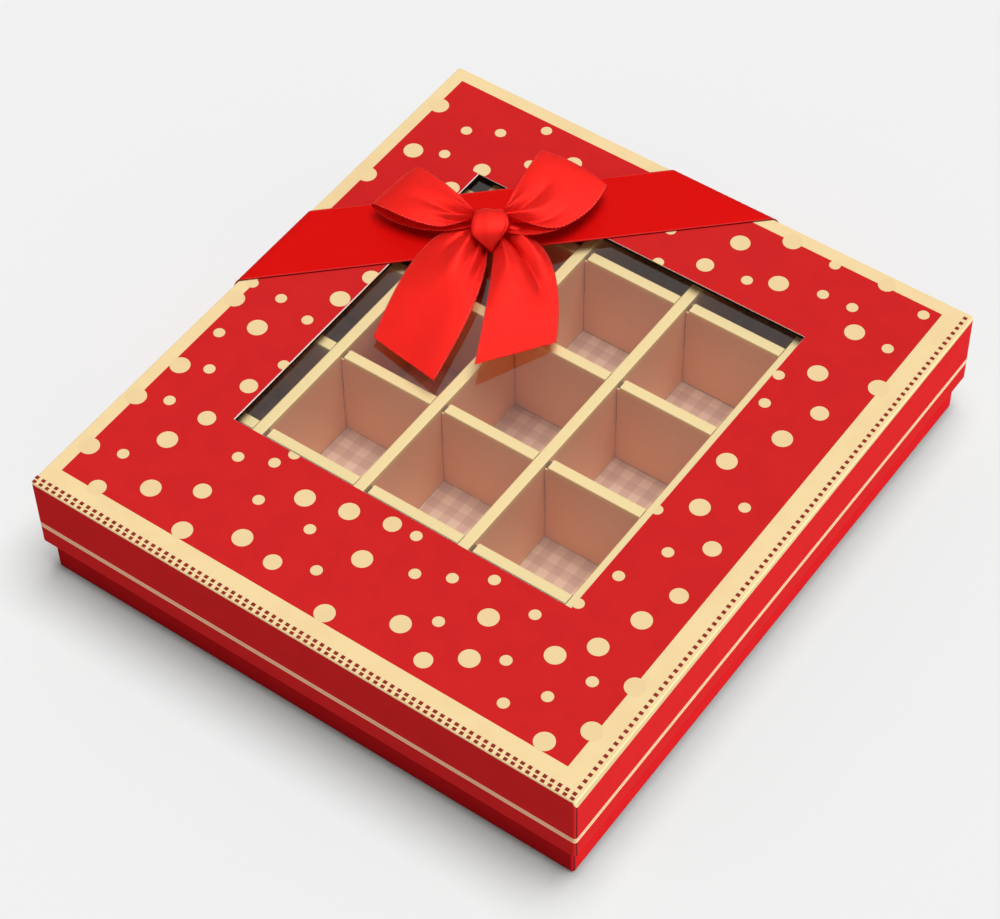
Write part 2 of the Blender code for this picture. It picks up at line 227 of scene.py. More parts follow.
class Paint(Nodes):
    """One node material, put together by calls."""

    def __init__(self, name: str) -> None:
        """Start an empty material.

        Args:
            name: its name.
        """
        self.material = bpy.data.materials.new(name)
        self.material.use_nodes = True
        super().__init__(self.material.node_tree)

    def place(self) -> bpy.types.NodeSocket:
        """Object coordinates, in metres."""
        return self.node("ShaderNodeTexCoord").outputs["Object"]

    def along(self) -> tuple[Value, Value]:
        """The two numbers of the piece's own UV map."""
        split = self.node("ShaderNodeSeparateXYZ", None, {0: self.node("ShaderNodeTexCoord").outputs["UV"]})
        return Value(self, split.outputs[0]), Value(self, split.outputs[1])

    def axes(self) -> tuple[Value, Value, Value]:
        """Object coordinates as three numbers."""
        split = self.node("ShaderNodeSeparateXYZ", None, {0: self.place()})
        return tuple(Value(self, output) for output in split.outputs)

    def stretched(self, shares: Stretch) -> bpy.types.NodeSocket:
        """Object coordinates multiplied by a share along each axis."""
        made = self.node("ShaderNodeMapping", None, {"Vector": self.place(), "Scale": shares})
        return made.outputs[0]

    def noise(self, where: bpy.types.NodeSocket, grain: float, detail: float = 2.0) -> Value:
        """Soft noise from 0 to 1.

        Args:
            where: the coordinates it is read at.
            grain: the size of its spots in metres.
            detail: how many finer layers it has.

        Returns:
            The noise.
        """
        sockets = {"Vector": where, "Scale": 1.0 / grain, "Detail": detail}
        return Value(self, self.node("ShaderNodeTexNoise", None, sockets).outputs[0])

    def mix(self, share: Value | float, low: object, high: object) -> bpy.types.NodeSocket:
        """Mix two colours by a share."""
        return self.node("ShaderNodeMix", {"data_type": "RGBA"}, {0: share, 6: low, 7: high}).outputs[2]

    def bump(self, height: Value, depth: float) -> bpy.types.NodeSocket:
        """A normal from a height of 0 to 1 over a depth in metres."""
        return self.node("ShaderNodeBump", None, {"Height": height, "Distance": depth}).outputs[0]

    def principled(self, colour: object, roughness: Value | float, others: dict) -> bpy.types.Node:
        """Add the main shader with a colour, a roughness and what its other sockets take."""
        sockets = {"Base Color": colour, "Roughness": roughness, **others}
        return self.node("ShaderNodeBsdfPrincipled", None, sockets)

    def done(self, shader: bpy.types.Node) -> bpy.types.Material:
        """Lead a shader to the output and hand over the material."""
        self.node("ShaderNodeOutputMaterial", None, {"Surface": shader.outputs[0]})
        return self.material


# Finishes


@dataclass(frozen=True)
class PrintedPaper:
    """Coated wrapping paper with one flat ink, its fine tooth and a little print mottle."""

    name: str
    ink: Colour
    shade: Colour
    roughness: float = 0.5
    roughness_play: float = 0.12
    specular: float = 0.09
    tooth: float = 0.35 * MM
    tooth_depth: float = 0.012 * MM
    tooth_share: float = 0.25
    mottle: float = 9 * MM
    mottle_span: Span = (0.35, 0.75)
    mottle_share: float = 0.55
    detail: float = 3.0

    def make(self) -> bpy.types.Material:
        """Build the finish.

        Returns:
            Its material.
        """
        paint = Paint(self.name)
        place = paint.place()
        blotch = paint.noise(place, self.mottle, self.detail).ramp(*self.mottle_span)
        fibre = paint.noise(place, self.tooth, self.detail)
        colour = paint.mix(blotch * self.mottle_share + fibre * self.tooth_share, self.ink, self.shade)
        roughness = self.roughness + (fibre - HALF) * self.roughness_play
        fixed = {"Specular IOR Level": self.specular, "Normal": paint.bump(fibre, self.tooth_depth)}
        return paint.done(paint.principled(colour, roughness, fixed))


@dataclass(frozen=True)
class RawBoard:
    """Grey-brown chipboard with long fibres, darkened at and near the window's cut if it has one."""

    name: str
    fibre: Colour
    pulp: Colour
    cut_colour: Colour | None = None
    window: "Oblong | None" = None
    cut_reach: float = 2.2 * MM
    roughness: float = 0.86
    specular: float = 0.15
    grain: float = 0.7 * MM
    grain_stretch: Stretch = (1.0, 0.25, 4.0)
    grain_span: Span = (0.3, 0.7)
    grain_detail: float = 4.0
    speck: float = 0.25 * MM
    speck_share: float = 0.5
    relief: float = 0.05 * MM

    def make(self) -> bpy.types.Material:
        """Build the finish.

        Returns:
            Its material.
        """
        paint = Paint(self.name)
        long_fibre = paint.noise(paint.stretched(self.grain_stretch), self.grain, self.grain_detail)
        speck = paint.noise(paint.place(), self.speck)
        colour = paint.mix(long_fibre.ramp(*self.grain_span), self.pulp, self.fibre)
        if self.window:
            across, deep, _ = paint.axes()
            middle, half = self.window.middle, self.window.size / 2
            beyond_x = abs(across - middle.x) - half.x
            beyond_y = abs(deep - middle.y) - half.y
            colour = paint.mix(beyond_x.most(beyond_y).ramp(0.0, self.cut_reach), self.cut_colour, colour)
        relief = paint.bump(long_fibre + speck * self.speck_share, self.relief)
        fixed = {"Specular IOR Level": self.specular, "Normal": relief}
        return paint.done(paint.principled(colour, self.roughness, fixed))


@dataclass(frozen=True)
class PlainSheet:
    """Uncoated paper with visible fibres, for linings and stays."""

    name: str
    base: Colour
    fibre: Colour
    roughness: float = 0.8
    specular: float = 0.2
    grain: float = 0.5 * MM
    grain_stretch: Stretch = (1.0, 0.4, 1.0)
    grain_share: float = 0.6
    grain_detail: float = 4.0
    cloud: float = 12 * MM
    cloud_share: float = 0.4
    relief: float = 0.03 * MM

    def make(self) -> bpy.types.Material:
        """Build the finish.

        Returns:
            Its material.
        """
        paint = Paint(self.name)
        fibre = paint.noise(paint.stretched(self.grain_stretch), self.grain, self.grain_detail)
        cloud = paint.noise(paint.place(), self.cloud)
        colour = paint.mix(fibre * self.grain_share + cloud * self.cloud_share, self.base, self.fibre)
        fixed = {"Specular IOR Level": self.specular, "Normal": paint.bump(fibre, self.relief)}
        return paint.done(paint.principled(colour, self.roughness, fixed))


@dataclass(frozen=True)
class ClearFilm:
    """Glossy clear film: it lets light through and mirrors a share of it, with faint waves.

    Its faces say how many clear faces' worth of light it mirrors.
    """

    name: str
    index: float = 1.5
    faces: float = 2.0
    clarity: float = 0.995
    roughness: float = 0.03
    wave: float = 34 * MM
    wave_depth: float = 0.05 * MM
    wave_detail: float = 1.0

    def make(self) -> bpy.types.Material:
        """Build the finish.

        Returns:
            Its material.
        """
        paint = Paint(self.name)
        normal = paint.bump(paint.noise(paint.place(), self.wave, self.wave_detail), self.wave_depth)
        fresnel = Value(paint, paint.node("ShaderNodeFresnel", None, {"IOR": self.index}).outputs[0])
        behind = Value(paint, paint.node("ShaderNodeNewGeometry").outputs["Backfacing"])
        mirror = fresnel * self.faces * (1 - behind)
        tint = rgb(self.clarity, self.clarity, self.clarity)
        clear = paint.node("ShaderNodeBsdfTransparent", None, {"Color": tint})
        gloss = paint.principled(WHITE, self.roughness, {"Metallic": 1.0, "Normal": normal})
        sockets = {0: mirror, 1: clear.outputs[0], 2: gloss.outputs[0]}
        return paint.done(paint.node("ShaderNodeMixShader", None, sockets))


@dataclass(frozen=True)
class PearlCard:
    """Pale gold pearl card: fine drawn grain and small flakes, pale on its crest and darker and warmer down
    its walls as painted shade and painted reflection of the brown floor sheet.
    """

    name: str
    top: Colour
    # Below the crest the card takes a darker, warmer colour: painted shade and painted reflection of the
    # brown floor sheet
    low: Colour
    gold: Colour
    crest: float
    # How far under the crest the painted wall shade fades into the pale top
    wall_shade_reach: float = 3.0 * MM
    metallic: float = 0.06
    roughness: float = 0.34
    roughness_play: float = 0.14
    specular: float = 0.7
    grain: float = 0.3 * MM
    grain_stretch: Stretch = (1.0, 1.0, 0.3)
    grain_share: float = 0.30
    grain_detail: float = 3.0
    flake: float = 0.12 * MM
    flake_share: float = 0.4
    flake_detail: float = 1.0
    cloud: float = 16 * MM
    cloud_share: float = 0.15
    relief: float = 0.012 * MM

    def make(self) -> bpy.types.Material:
        """Build the finish.

        Returns:
            Its material.
        """
        paint = Paint(self.name)
        grain = paint.noise(paint.stretched(self.grain_stretch), self.grain, self.grain_detail)
        flake = paint.noise(paint.place(), self.flake, self.flake_detail)
        cloud = paint.noise(paint.place(), self.cloud)
        # Painted shade: the darker, warmer wall colour low down turns to the pale top just under the crest
        lit = paint.axes()[2].ramp(self.crest - self.wall_shade_reach, self.crest)
        crest_lit_walls_shaded = paint.mix(lit, self.low, self.top)
        colour = paint.mix(grain * self.grain_share + cloud * self.cloud_share, crest_lit_walls_shaded, self.gold)
        roughness = self.roughness + flake * self.roughness_play
        relief = paint.bump(grain + flake * self.flake_share, self.relief)
        fixed = {"Metallic": self.metallic, "Specular IOR Level": self.specular, "Normal": relief}
        return paint.done(paint.principled(colour, roughness, fixed))


@dataclass(frozen=True)
class CheckPaper:
    """Floor paper with a woven-look check in three tones."""

    name: str
    pale: Colour
    middle: Colour
    dark: Colour
    threads: Colour
    square: float = 3.4 * MM

    # What the sum of the stripes has to pass to be one stripe, and where two cross
    one_stripe: float = 0.5
    two_stripes: float = 1.5

    # The woven look and the paper's tooth
    thread: float = 0.42 * MM
    weave_share: float = 0.08
    weave_rise: float = 0.5
    tooth: float = 0.4 * MM
    tooth_share: float = 0.2
    tooth_detail: float = 3.0
    relief: float = 0.02 * MM
    roughness: float = 0.72
    specular: float = 0.2

    def stripe(self, across: Value) -> Value:
        """One where a dark stripe runs, nought where a pale one does."""
        return (across / (2 * self.square)).part() > HALF

    def make(self) -> bpy.types.Material:
        """Build the finish.

        Returns:
            Its material.
        """
        paint = Paint(self.name)
        across, deep, _ = paint.axes()
        stripes = self.stripe(across) + self.stripe(deep)
        pale_middle = paint.mix(stripes > self.one_stripe, self.pale, self.middle)
        checks = paint.mix(stripes > self.two_stripes, pale_middle, self.dark)
        turns = 2 * math.pi / self.thread
        weave = (across * turns).wave() * (deep * turns).wave()
        tooth = paint.noise(paint.place(), self.tooth, self.tooth_detail)
        colour = paint.mix(weave * self.weave_share + tooth * self.tooth_share, checks, self.threads)
        relief = paint.bump(weave * self.weave_rise + tooth, self.relief)
        fixed = {"Specular IOR Level": self.specular, "Normal": relief}
        return paint.done(paint.principled(colour, self.roughness, fixed))


@dataclass(frozen=True)
class Satin:
    """Woven satin ribbon: fine threads along it, a stitched selvedge and some light let through.

    The piece's UV map holds ribbon widths along it and a share from edge to edge across it.
    """

    name: str
    face: Colour
    hollow: Colour
    width: float
    sewing: Colour = rgb(1.0, 0.10, 0.08)
    seam: Colour = rgb(0.38, 0.003, 0.003)
    glow: Colour = rgb(0.95, 0.03, 0.015)
    let_through: float = 0.0
    metallic: float = 0.45
    specular: float = 0.06

    # The weave, the stitched edge and the soft creases
    thread: float = 0.30 * MM
    pick: float = 0.24 * MM
    stitch: float = 0.74 * MM
    selvedge: float = 0.48 * MM
    piping: float = 0.08 * MM
    cloud: float = 5 * MM
    crease: float = 2.6 * MM

    # How much each adds to the tone, to the roughness and to the relief
    cloud_share: float = 0.5
    thread_share: float = 0.10
    seam_share: float = 0.8
    sewing_share: float = 0.9
    roughness: float = 0.36
    cloud_roughness: float = 0.10
    edge_roughness: float = 0.15
    relief: float = 0.03 * MM
    thread_rise: float = 0.25
    pick_rise: float = 0.15
    stitch_rise: float = 0.5
    crease_rise: float = 4.0

    def make(self) -> bpy.types.Material:
        """Build the finish.

        Returns:
            Its material.
        """
        paint = Paint(self.name)
        along, across = paint.along()
        run = along * self.width
        threads = across.swell(self.thread / self.width)
        picks = run.swell(self.pick)
        inwards = HALF - abs(across - HALF)
        edge = inwards < self.selvedge / self.width
        stitches = edge * (inwards > self.piping / self.width) * ((run / self.stitch).part() > HALF)
        cloud = paint.noise(paint.place(), self.cloud)
        crumple = paint.noise(paint.place(), self.crease)
        tone = paint.mix(cloud * self.cloud_share + threads * self.thread_share, self.face, self.hollow)
        sewn = paint.mix(edge * self.seam_share, tone, self.seam)
        colour = paint.mix(stitches * self.sewing_share, sewn, self.sewing)
        weave = threads * self.thread_rise + picks * self.pick_rise
        height = weave + stitches * self.stitch_rise + crumple * self.crease_rise
        roughness = self.roughness + cloud * self.cloud_roughness + edge * self.edge_roughness
        fixed = {"Metallic": self.metallic, "Specular IOR Level": self.specular,
                 "Normal": paint.bump(height, self.relief)}
        face = paint.principled(colour, roughness, fixed)
        if not self.let_through:
            return paint.done(face)
        glow = paint.node("ShaderNodeBsdfTranslucent", None, {"Color": self.glow})
        sockets = {0: self.let_through, 1: face.outputs[0], 2: glow.outputs[0]}
        return paint.done(paint.node("ShaderNodeMixShader", None, sockets))


@dataclass(frozen=True)
class SetGlue:
    """A set drop of amber glue, glossy with small bubbles."""

    name: str
    amber: Colour
    froth: Colour
    bubble: float = 0.6 * MM
    bubble_span: Span = (0.5, 0.8)
    relief: float = 0.05 * MM
    roughness: float = 0.25
    coat: float = 0.3

    def make(self) -> bpy.types.Material:
        """Build the finish.

        Returns:
            Its material.
        """
        paint = Paint(self.name)
        bubble = paint.noise(paint.place(), self.bubble)
        colour = paint.mix(bubble.ramp(*self.bubble_span), self.amber, self.froth)
        fixed = {"Normal": paint.bump(bubble, self.relief), "Coat Weight": self.coat}
        return paint.done(paint.principled(colour, self.roughness, fixed))


# Mesh helpers


# The bevel's profile that is a true quarter circle, and how near a plane a point counts as on it
ROUND_PROFILE = 0.5
ON_PLANE = 1e-7


@dataclass(frozen=True)
class Oblong:
    """A rectangle seen from above, with rounded corners."""

    left: float
    right: float
    front: float
    back: float
    corner: float
    sharpest_share: ClassVar[float] = 0.25

    @staticmethod
    def of(low: Vector, high: Vector, corner: float) -> "Oblong":
        """The rectangle between two corners of a box."""
        return Oblong(low.x, high.x, low.y, high.y, corner)

    @property
    def sides(self) -> Span:
        """Where its left and its right side lie."""
        return self.left, self.right

    @property
    def ends(self) -> Span:
        """Where its front and its back side lie."""
        return self.front, self.back

    @property
    def middle(self) -> Vector:
        """The rectangle's middle."""
        return Vector((sum(self.sides) / 2, sum(self.ends) / 2))

    @property
    def size(self) -> Vector:
        """Its width and its depth."""
        return Vector((self.right - self.left, self.back - self.front))

    def inside(self, step: float) -> "Oblong":
        """The same rectangle drawn in by a step on all sides, its corners as far as they stay round."""
        corner = max(self.corner - step, self.corner * self.sharpest_share)
        return Oblong(self.left + step, self.right - step, self.front + step, self.back - step, corner)


def link(piece: bpy.types.Object) -> bpy.types.Object:
    """Put an object into the scene."""
    bpy.context.scene.collection.objects.link(piece)
    return piece


def new_piece(name: str, bm: BMesh, body: Body, materials: list[bpy.types.Material],
              replaces: tuple[str, ...] = (), smooth: float | None = None) -> bpy.types.Object:
    """Make a bmesh an object of the box.

    Args:
        name: the piece's name.
        bm: its shape, used up here.
        body: the body that it rides on.
        materials: its materials, by face number.
        replaces: the CAD nodes that it stands for.
        smooth: faces that meet at less than this many degrees shade as one, or None for flat.

    Returns:
        The new object.
    """
    mesh = bpy.data.meshes.new(name)
    bm.to_mesh(mesh)
    bm.free()
    for material in materials:
        mesh.materials.append(material)
    if smooth is not None:
        mesh.shade_smooth()
        mesh.set_sharp_from_angle(angle=math.radians(smooth))
    piece = link(bpy.data.objects.new(name, mesh))
    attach(piece, body.value)
    if replaces:
        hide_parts(*replaces)
    log.info("%s: %d faces, on %s", name, len(mesh.polygons), body.value)
    return piece


def dress(node: str, material: bpy.types.Material) -> None:
    """Give a CAD node a material.

    Args:
        node: the node's name.
        material: its material.
    """
    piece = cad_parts[node]
    if not piece.material_slots:
        piece.data.materials.append(material)
    for place in piece.material_slots:
        place.material = material
    log.info("%s: CAD node, %s", node, material.name)


def thicken(piece: bpy.types.Object, thickness: float, offset: float = -1.0, rim: int = 0) -> None:
    """Give a sheet its thickness and crisp cut edges.

    Args:
        piece: the sheet.
        thickness: how thick it becomes.
        offset: the side that it grows to, from -1 below to 1 above.
        rim: how many places further on its edge's material is.
    """
    wall = piece.modifiers.new("wall", "SOLIDIFY")
    wall.thickness = thickness
    wall.offset = offset
    wall.material_offset_rim = rim
    bm = bmesh.new()
    bm.from_mesh(piece.data)
    for edge in bm.edges:
        if edge.is_boundary:
            edge.smooth = False
    bm.to_mesh(piece.data)
    bm.free()


def slab(low: Vector, high: Vector) -> BMesh:
    """Make a closed box, for shapes that are cut and rounded further.

    Args:
        low: its lowest corner.
        high: its highest corner.

    Returns:
        The box.
    """
    bm = bmesh.new()
    bmesh.ops.create_cube(bm, size=1.0)
    bmesh.ops.scale(bm, vec=high - low, verts=bm.verts)
    bmesh.ops.translate(bm, vec=(low + high) / 2, verts=bm.verts)
    return bm


def drop_faces(bm: BMesh, unwanted: Callable[[bmesh.types.BMFace], bool]) -> None:
    """Delete the faces that a test names, with what only they used."""
    faces = [face for face in bm.faces if unwanted(face)]
    bmesh.ops.delete(bm, geom=faces, context="FACES")


def slice_at(bm: BMesh, point: Vector, normal: Vector, clear: bool = False) -> None:
    """Cut a mesh along a plane, and with clear drop what lies on the normal's side."""
    bmesh.ops.bisect_plane(bm, geom=bm.verts[:] + bm.edges[:] + bm.faces[:], dist=ON_PLANE,
                           plane_co=point, plane_no=normal, clear_outer=clear)


def sheet_grid(steps: int, cross_steps: int, place: Place, length_in_widths: float) -> BMesh:
    """Make a cloth grid shaped by a rule, with a UV map along and across it.

    Args:
        steps: cells along the ribbon.
        cross_steps: cells across it.
        place: gives a point for a share 0..1 along and -1..1 across.
        length_in_widths: the ribbon's length over its width, for the UV map.

    Returns:
        The shaped grid.
    """
    bm = bmesh.new()
    uv = bm.loops.layers.uv.new("ribbon")
    bmesh.ops.create_grid(bm, x_segments=steps, y_segments=cross_steps, size=1.0, calc_uvs=True)
    for face in bm.faces:
        for corner in face.loops:
            along, across = corner[uv].uv
            corner[uv].uv = (along * length_in_widths, across)
    for vert in bm.verts:
        vert.co = place((vert.co.x + 1) / 2, vert.co.y)
    bm.normal_update()
    return bm


class PaperSkin:
    """A paper skin drawn as one rounded outline that is drawn on from ring to ring."""

    # How far an upright face may look up or down, and how square to a side a corner's strip may look
    upright: float = 0.1
    square_on: float = 0.98

    # How wide the edge of a pressed groove is
    groove_edge: float = 0.05 * MM

    def __init__(self, first: Oblong, height: float, corner_steps: int = 8) -> None:
        """Draw the first outline.

        Args:
            first: its rectangle.
            height: how high it lies.
            corner_steps: how many steps round off each corner.
        """
        self.bm = bmesh.new()
        self.at = first
        corners = bmesh.ops.create_grid(self.bm, x_segments=1, y_segments=1, size=HALF)["verts"]
        bmesh.ops.scale(self.bm, vec=(*first.size, 1.0), verts=corners)
        bmesh.ops.translate(self.bm, vec=(*first.middle, height), verts=corners)
        bmesh.ops.bevel(self.bm, geom=corners, offset=first.corner, offset_type="OFFSET",
                        affect="VERTICES", segments=corner_steps, profile=ROUND_PROFILE, material=-1)
        bmesh.ops.delete(self.bm, geom=self.bm.faces[:], context="FACES_ONLY")
        self.last = self.bm.edges[:]

    def ring(self, oblong: Oblong, height: float, ink: Ink) -> None:
        """Draw the skin on to the next outline.

        Args:
            oblong: the outline's rectangle.
            height: how high it lies.
            ink: what the strip up to it is printed with.
        """
        made = bmesh.ops.extrude_edge_only(self.bm, edges=self.last)["geom"]
        verts = [one for one in made if isinstance(one, bmesh.types.BMVert)]
        for vert in verts:
            across = self.carried(vert.co.x, self.at.sides, oblong.sides, oblong.corner)
            deep = self.carried(vert.co.y, self.at.ends, oblong.ends, oblong.corner)
            vert.co = Vector((across, deep, height))
        edges = [one for one in made if isinstance(one, bmesh.types.BMEdge)]
        self.last = [edge for edge in edges if all(vert in verts for vert in edge.verts)]
        for edge in self.last:
            for face in edge.link_faces:
                face.material_index = ink
        self.at = oblong

    def carried(self, spot: float, old: Span, new: Span, corner: float) -> float:
        """Find where a coordinate of the last outline comes to on the next one.

        Args:
            spot: the coordinate.
            old: the two sides of the last outline that it lies between.
            new: the same two sides of the next outline.
            corner: the next outline's corner radius.

        Returns:
            The coordinate on the next outline, with the same place on its rounded corner.
        """
        share = corner / self.at.corner
        if spot < sum(old) / 2:
            return new[0] + corner + (spot - old[0] - self.at.corner) * share
        return new[1] - corner + (spot - old[1] + self.at.corner) * share

    def fold(self, outer: Oblong, edge: float, radius: float, rising: bool, outwards: bool,
             ink: Ink, steps: int = 6) -> None:
        """Add the rings of a quarter-round fold.

        Args:
            outer: the rectangle of the upright face at the fold.
            edge: the height of the level face at the fold.
            radius: the fold's outer radius.
            rising: True if the level face lies above the upright one.
            outwards: True if the rings run from the level face to the upright one.
            ink: what the fold is printed with.
            steps: how many strips it has.
        """
        for step in range(steps + 1):
            share = step / steps if outwards else 1 - step / steps
            angle = share * math.pi / 2
            drawn_in = radius * (1 - math.sin(angle))
            drop = radius * (1 - math.cos(angle))
            self.ring(outer.inside(drawn_in), edge - drop if rising else edge + drop, ink)

    def crease_corners(self, middle: Vector, low: float, high: float, turn: float, depth: float) -> None:
        """Press an upright groove into each corner, beside the flap that is folded round it, and paint it
        near-black as painted shadow.

        Args:
            middle: the middle of the box seen from above.
            low: the groove's lower end.
            high: its upper end.
            turn: how far a strip of the corner has to look towards the side to be pressed, as a share.
            depth: how deep it is pressed.
        """
        wanted = []
        for face in self.bm.faces:
            normal = face.normal
            centre = face.calc_center_median()
            upright = abs(normal.z) < self.upright and low < centre.z < high
            towards_side = turn < abs(normal.x) < self.square_on
            outer = normal.dot(centre - middle) > 0
            if upright and towards_side and outer and face.material_index == Ink.FIELD:
                wanted.append(face)
        edged = bmesh.ops.inset_region(self.bm, faces=wanted, thickness=self.groove_edge, depth=-depth,
                                       use_even_offset=True)["faces"]
        for face in wanted + edged:
            face.material_index = Ink.CREASE

    def finish(self, name: str, body: Body, materials: list[bpy.types.Material],
               node: str, paper: float) -> None:
        """Make the skin a piece of the box.

        Args:
            name: the piece's name.
            body: the body that it rides on.
            materials: its materials, by ink.
            node: the CAD node that it stands for.
            paper: how thick the paper is.
        """
        piece = new_piece(name, self.bm, body, materials, (node,))
        thicken(piece, paper, rim=CUT_SHIFT)
        piece.visible_diffuse = False


def turn_outwards(bm: BMesh, sample: Callable[[bmesh.types.BMFace], bool], way: Vector = UP) -> None:
    """Turn all faces over if the largest of the sample faces looks against a way.

    Args:
        bm: the mesh.
        sample: tells whether a face is one of the sample.
        way: where it should look.
    """
    bm.normal_update()
    face = max((face for face in bm.faces if sample(face)), key=lambda one: one.calc_area())
    if face.normal.dot(way) < 0:
        bmesh.ops.reverse_faces(bm, faces=bm.faces)


# The lid


@dataclass
class Lid:
    """The printed lid: paper skin with its print, board, lining, stays and window film."""

    finishes: "Finishes"
    low: Vector = field(default_factory=lambda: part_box("lid_wrap")[0])
    high: Vector = field(default_factory=lambda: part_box("lid_wrap")[1])
    film_margin: float = 8.0 * MM
    corner: float = 1.1 * MM
    fold_radius: float = 0.55 * MM
    paper: float = 0.25 * MM
    wall_stack: float = 2.0 * MM
    turn_in: float = 12.0 * MM
    cut_corner: float = 0.15 * MM

    # The flap folded round each corner: where its groove lies, as a share, and how deep
    flap_turn: float = 0.85
    flap_depth: float = 0.12 * MM

    # The least share of a face's direction with which it counts as looking to the right; cream faces that do
    # get a darker cream as painted shade
    rightwards: float = 0.9

    # The printed field on the top, in from the lid's faces
    field_left_border: float = 4.8 * MM
    field_right_border: float = 8.8 * MM
    field_front_border: float = 8.9 * MM
    field_back_border: float = 5.0 * MM

    # The cream that runs over the folds onto the sides
    front_margin: float = 0.62 * MM
    right_margin_front: float = 3.0 * MM
    right_margin_back: float = 0.9 * MM

    # The stripe round the sides, from the lid's top down
    stripe_drop: float = 18.9 * MM
    stripe_height: float = 2.2 * MM
    line_height: float = 0.45 * MM

    # White unprinted rim along the window's cut, on its left and back
    left_rim: float = 0.28 * MM
    back_rim: float = 0.06 * MM

    # Rows of small squares beside the front and right folds
    square: float = 1.30 * MM
    square_pitch: float = 2.53 * MM
    front_upper_inset: float = 2.6 * MM
    front_lower_inset: float = 0.95 * MM
    front_lower_shift: float = 0.3 * MM
    right_inset: float = 2.1 * MM
    ink_height: float = 0.03 * MM

    # Shares of a square's side: how deep it is, how deep those of the lower row are besides, and
    # how uneven they are, with the step and the place at which the unevenness is read
    square_depth_share: float = 0.92
    lower_row_share: float = 0.92
    square_play_share: float = 0.12
    play_step: float = 0.73
    play_place: Span = (0.3, 0.1)

    # Dots: radius, and their middles in millimetres to the right and to the back
    large_dot: float = 3.3 * MM
    medium_dot: float = 2.9 * MM
    small_dot: float = 1.92 * MM
    dot_sides: int = 28

    LARGE_DOTS = (
        (36, 105), (-94.5, 91), (22.5, 95), (42, 87), (72.5, 83), (-89, 69), (72, 62), (90.5, 67.5),
        (-95, 51.5), (77, 33.5), (-68.5, 2.5), (68, 16.5), (71, -3), (-96, -16.5), (-82.5, -22), (80, -47.5),
        (-92.5, -48), (75, -62.5), (-95.5, -65.5), (-14, -64), (-28, -67.5), (91.5, -68), (43, -72),
        (66.5, -72), (-76.5, -73.5), (0, -76), (90, -87.5), (47, -87), (23.5, -88.5), (-34, -90),
        (-68.5, -91), (-94.5, -89), (-50.5, -98), (3, -98), (81, -98))
    MEDIUM_DOTS = (
        (70.5, 106), (18.5, 80.5), (-65, 74.5), (-42, 94), (-68.5, 62), (81, 48.5), (-66, 15.5),
        (82.5, -14), (84, -34), (-69.5, -42.5), (-72, -60), (-0.5, -60.5), (-55, -83), (-21, -92),
        (36.5, -95), (-82, -100))
    SMALL_DOTS = (
        (86.5, 101.5), (52.5, 104), (-58, 101.5), (-70, 92), (66.5, 91.5), (56, 91), (-80, 86.5), (1, 87),
        (-53.5, 85.5), (84.5, 83), (33, 82.5), (5.5, 73), (-79.5, 73.5), (62.5, 54.5), (65, 42.5), (82, 4.5),
        (-95.5, -8), (-84, -8), (-71.5, -10.5), (61, -11), (72.5, -22.5), (-66, -29.5), (-91, -30.5),
        (65.5, -38), (-84, -44), (61.5, -53), (-41, -56), (8, -60), (36.5, -60), (-86, -61), (-44, -62),
        (53.5, -63.5), (-54.5, -66.5), (26, -66.5), (16, -71.5), (80.5, -73.5), (-39, -76), (-19.5, -76),
        (56, -81.5), (32, -81.5), (73, -85), (-84, -85.5), (-8.5, -87), (64, -94))

    def window(self) -> Oblong:
        """The window's rectangle, inside the film's glued margin."""
        low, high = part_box("window_film")
        return Oblong.of(low, high, self.cut_corner).inside(self.film_margin)

    def faces(self) -> Oblong:
        """The lid's upright faces."""
        return Oblong.of(self.low, self.high, self.corner)

    def build(self) -> None:
        """Make the lid's pieces and dress its CAD nodes."""
        self.make_skin()
        self.make_dots()
        self.make_squares()
        board = RawBoard("lid chipboard", rgb(0.16, 0.10, 0.07), rgb(0.09, 0.055, 0.04),
                         rgb(0.006, 0.004, 0.004), self.window())
        dress("lid_board", board.make())
        dress("lid_lining", self.finishes.lining)
        dress("window_film", ClearFilm("window film").make())
        for place in CORNER_PLACES:
            dress(f"lid_corner_stay_{place}", self.finishes.stay)

    def make_skin(self) -> None:
        """Make the wrap: one sheet from the window's edge over the folds and in under the rim."""
        top, rim = self.high.z, self.low.z
        faces = self.faces()
        window = self.window()
        skin = PaperSkin(window, top)
        hair = self.ink_height
        skin.ring(Oblong(window.left - self.left_rim, window.right + hair, window.front - hair,
                         window.back + self.back_rim, window.corner), top, Ink.EDGE)
        skin.ring(Oblong(self.low.x + self.field_left_border, self.high.x - self.field_right_border,
                         self.low.y + self.field_front_border, self.high.y - self.field_back_border,
                         self.cut_corner), top, Ink.FIELD)
        skin.fold(faces, top, self.fold_radius, True, True, Ink.BORDER)
        skin.ring(faces, top - self.front_margin, Ink.BORDER)
        self.slope_margin(skin.last)
        stripe_top = top - self.stripe_drop
        stripe_middle = stripe_top - self.stripe_height / 2
        skin.ring(faces, stripe_top, Ink.FIELD)
        skin.ring(faces, stripe_middle + self.line_height / 2, Ink.STRIPE)
        skin.ring(faces, stripe_middle - self.line_height / 2, Ink.LINE)
        skin.ring(faces, stripe_top - self.stripe_height, Ink.STRIPE)
        skin.fold(faces, rim, self.fold_radius, False, False, Ink.FIELD)
        under = faces.inside(self.wall_stack)
        skin.ring(under, rim, Ink.FIELD)
        skin.ring(under, rim + self.turn_in, Ink.FIELD)
        bm = skin.bm
        bmesh.ops.recalc_face_normals(bm, faces=bm.faces)
        turn_outwards(bm, lambda face: face.calc_center_median().z > top - self.cut_corner)
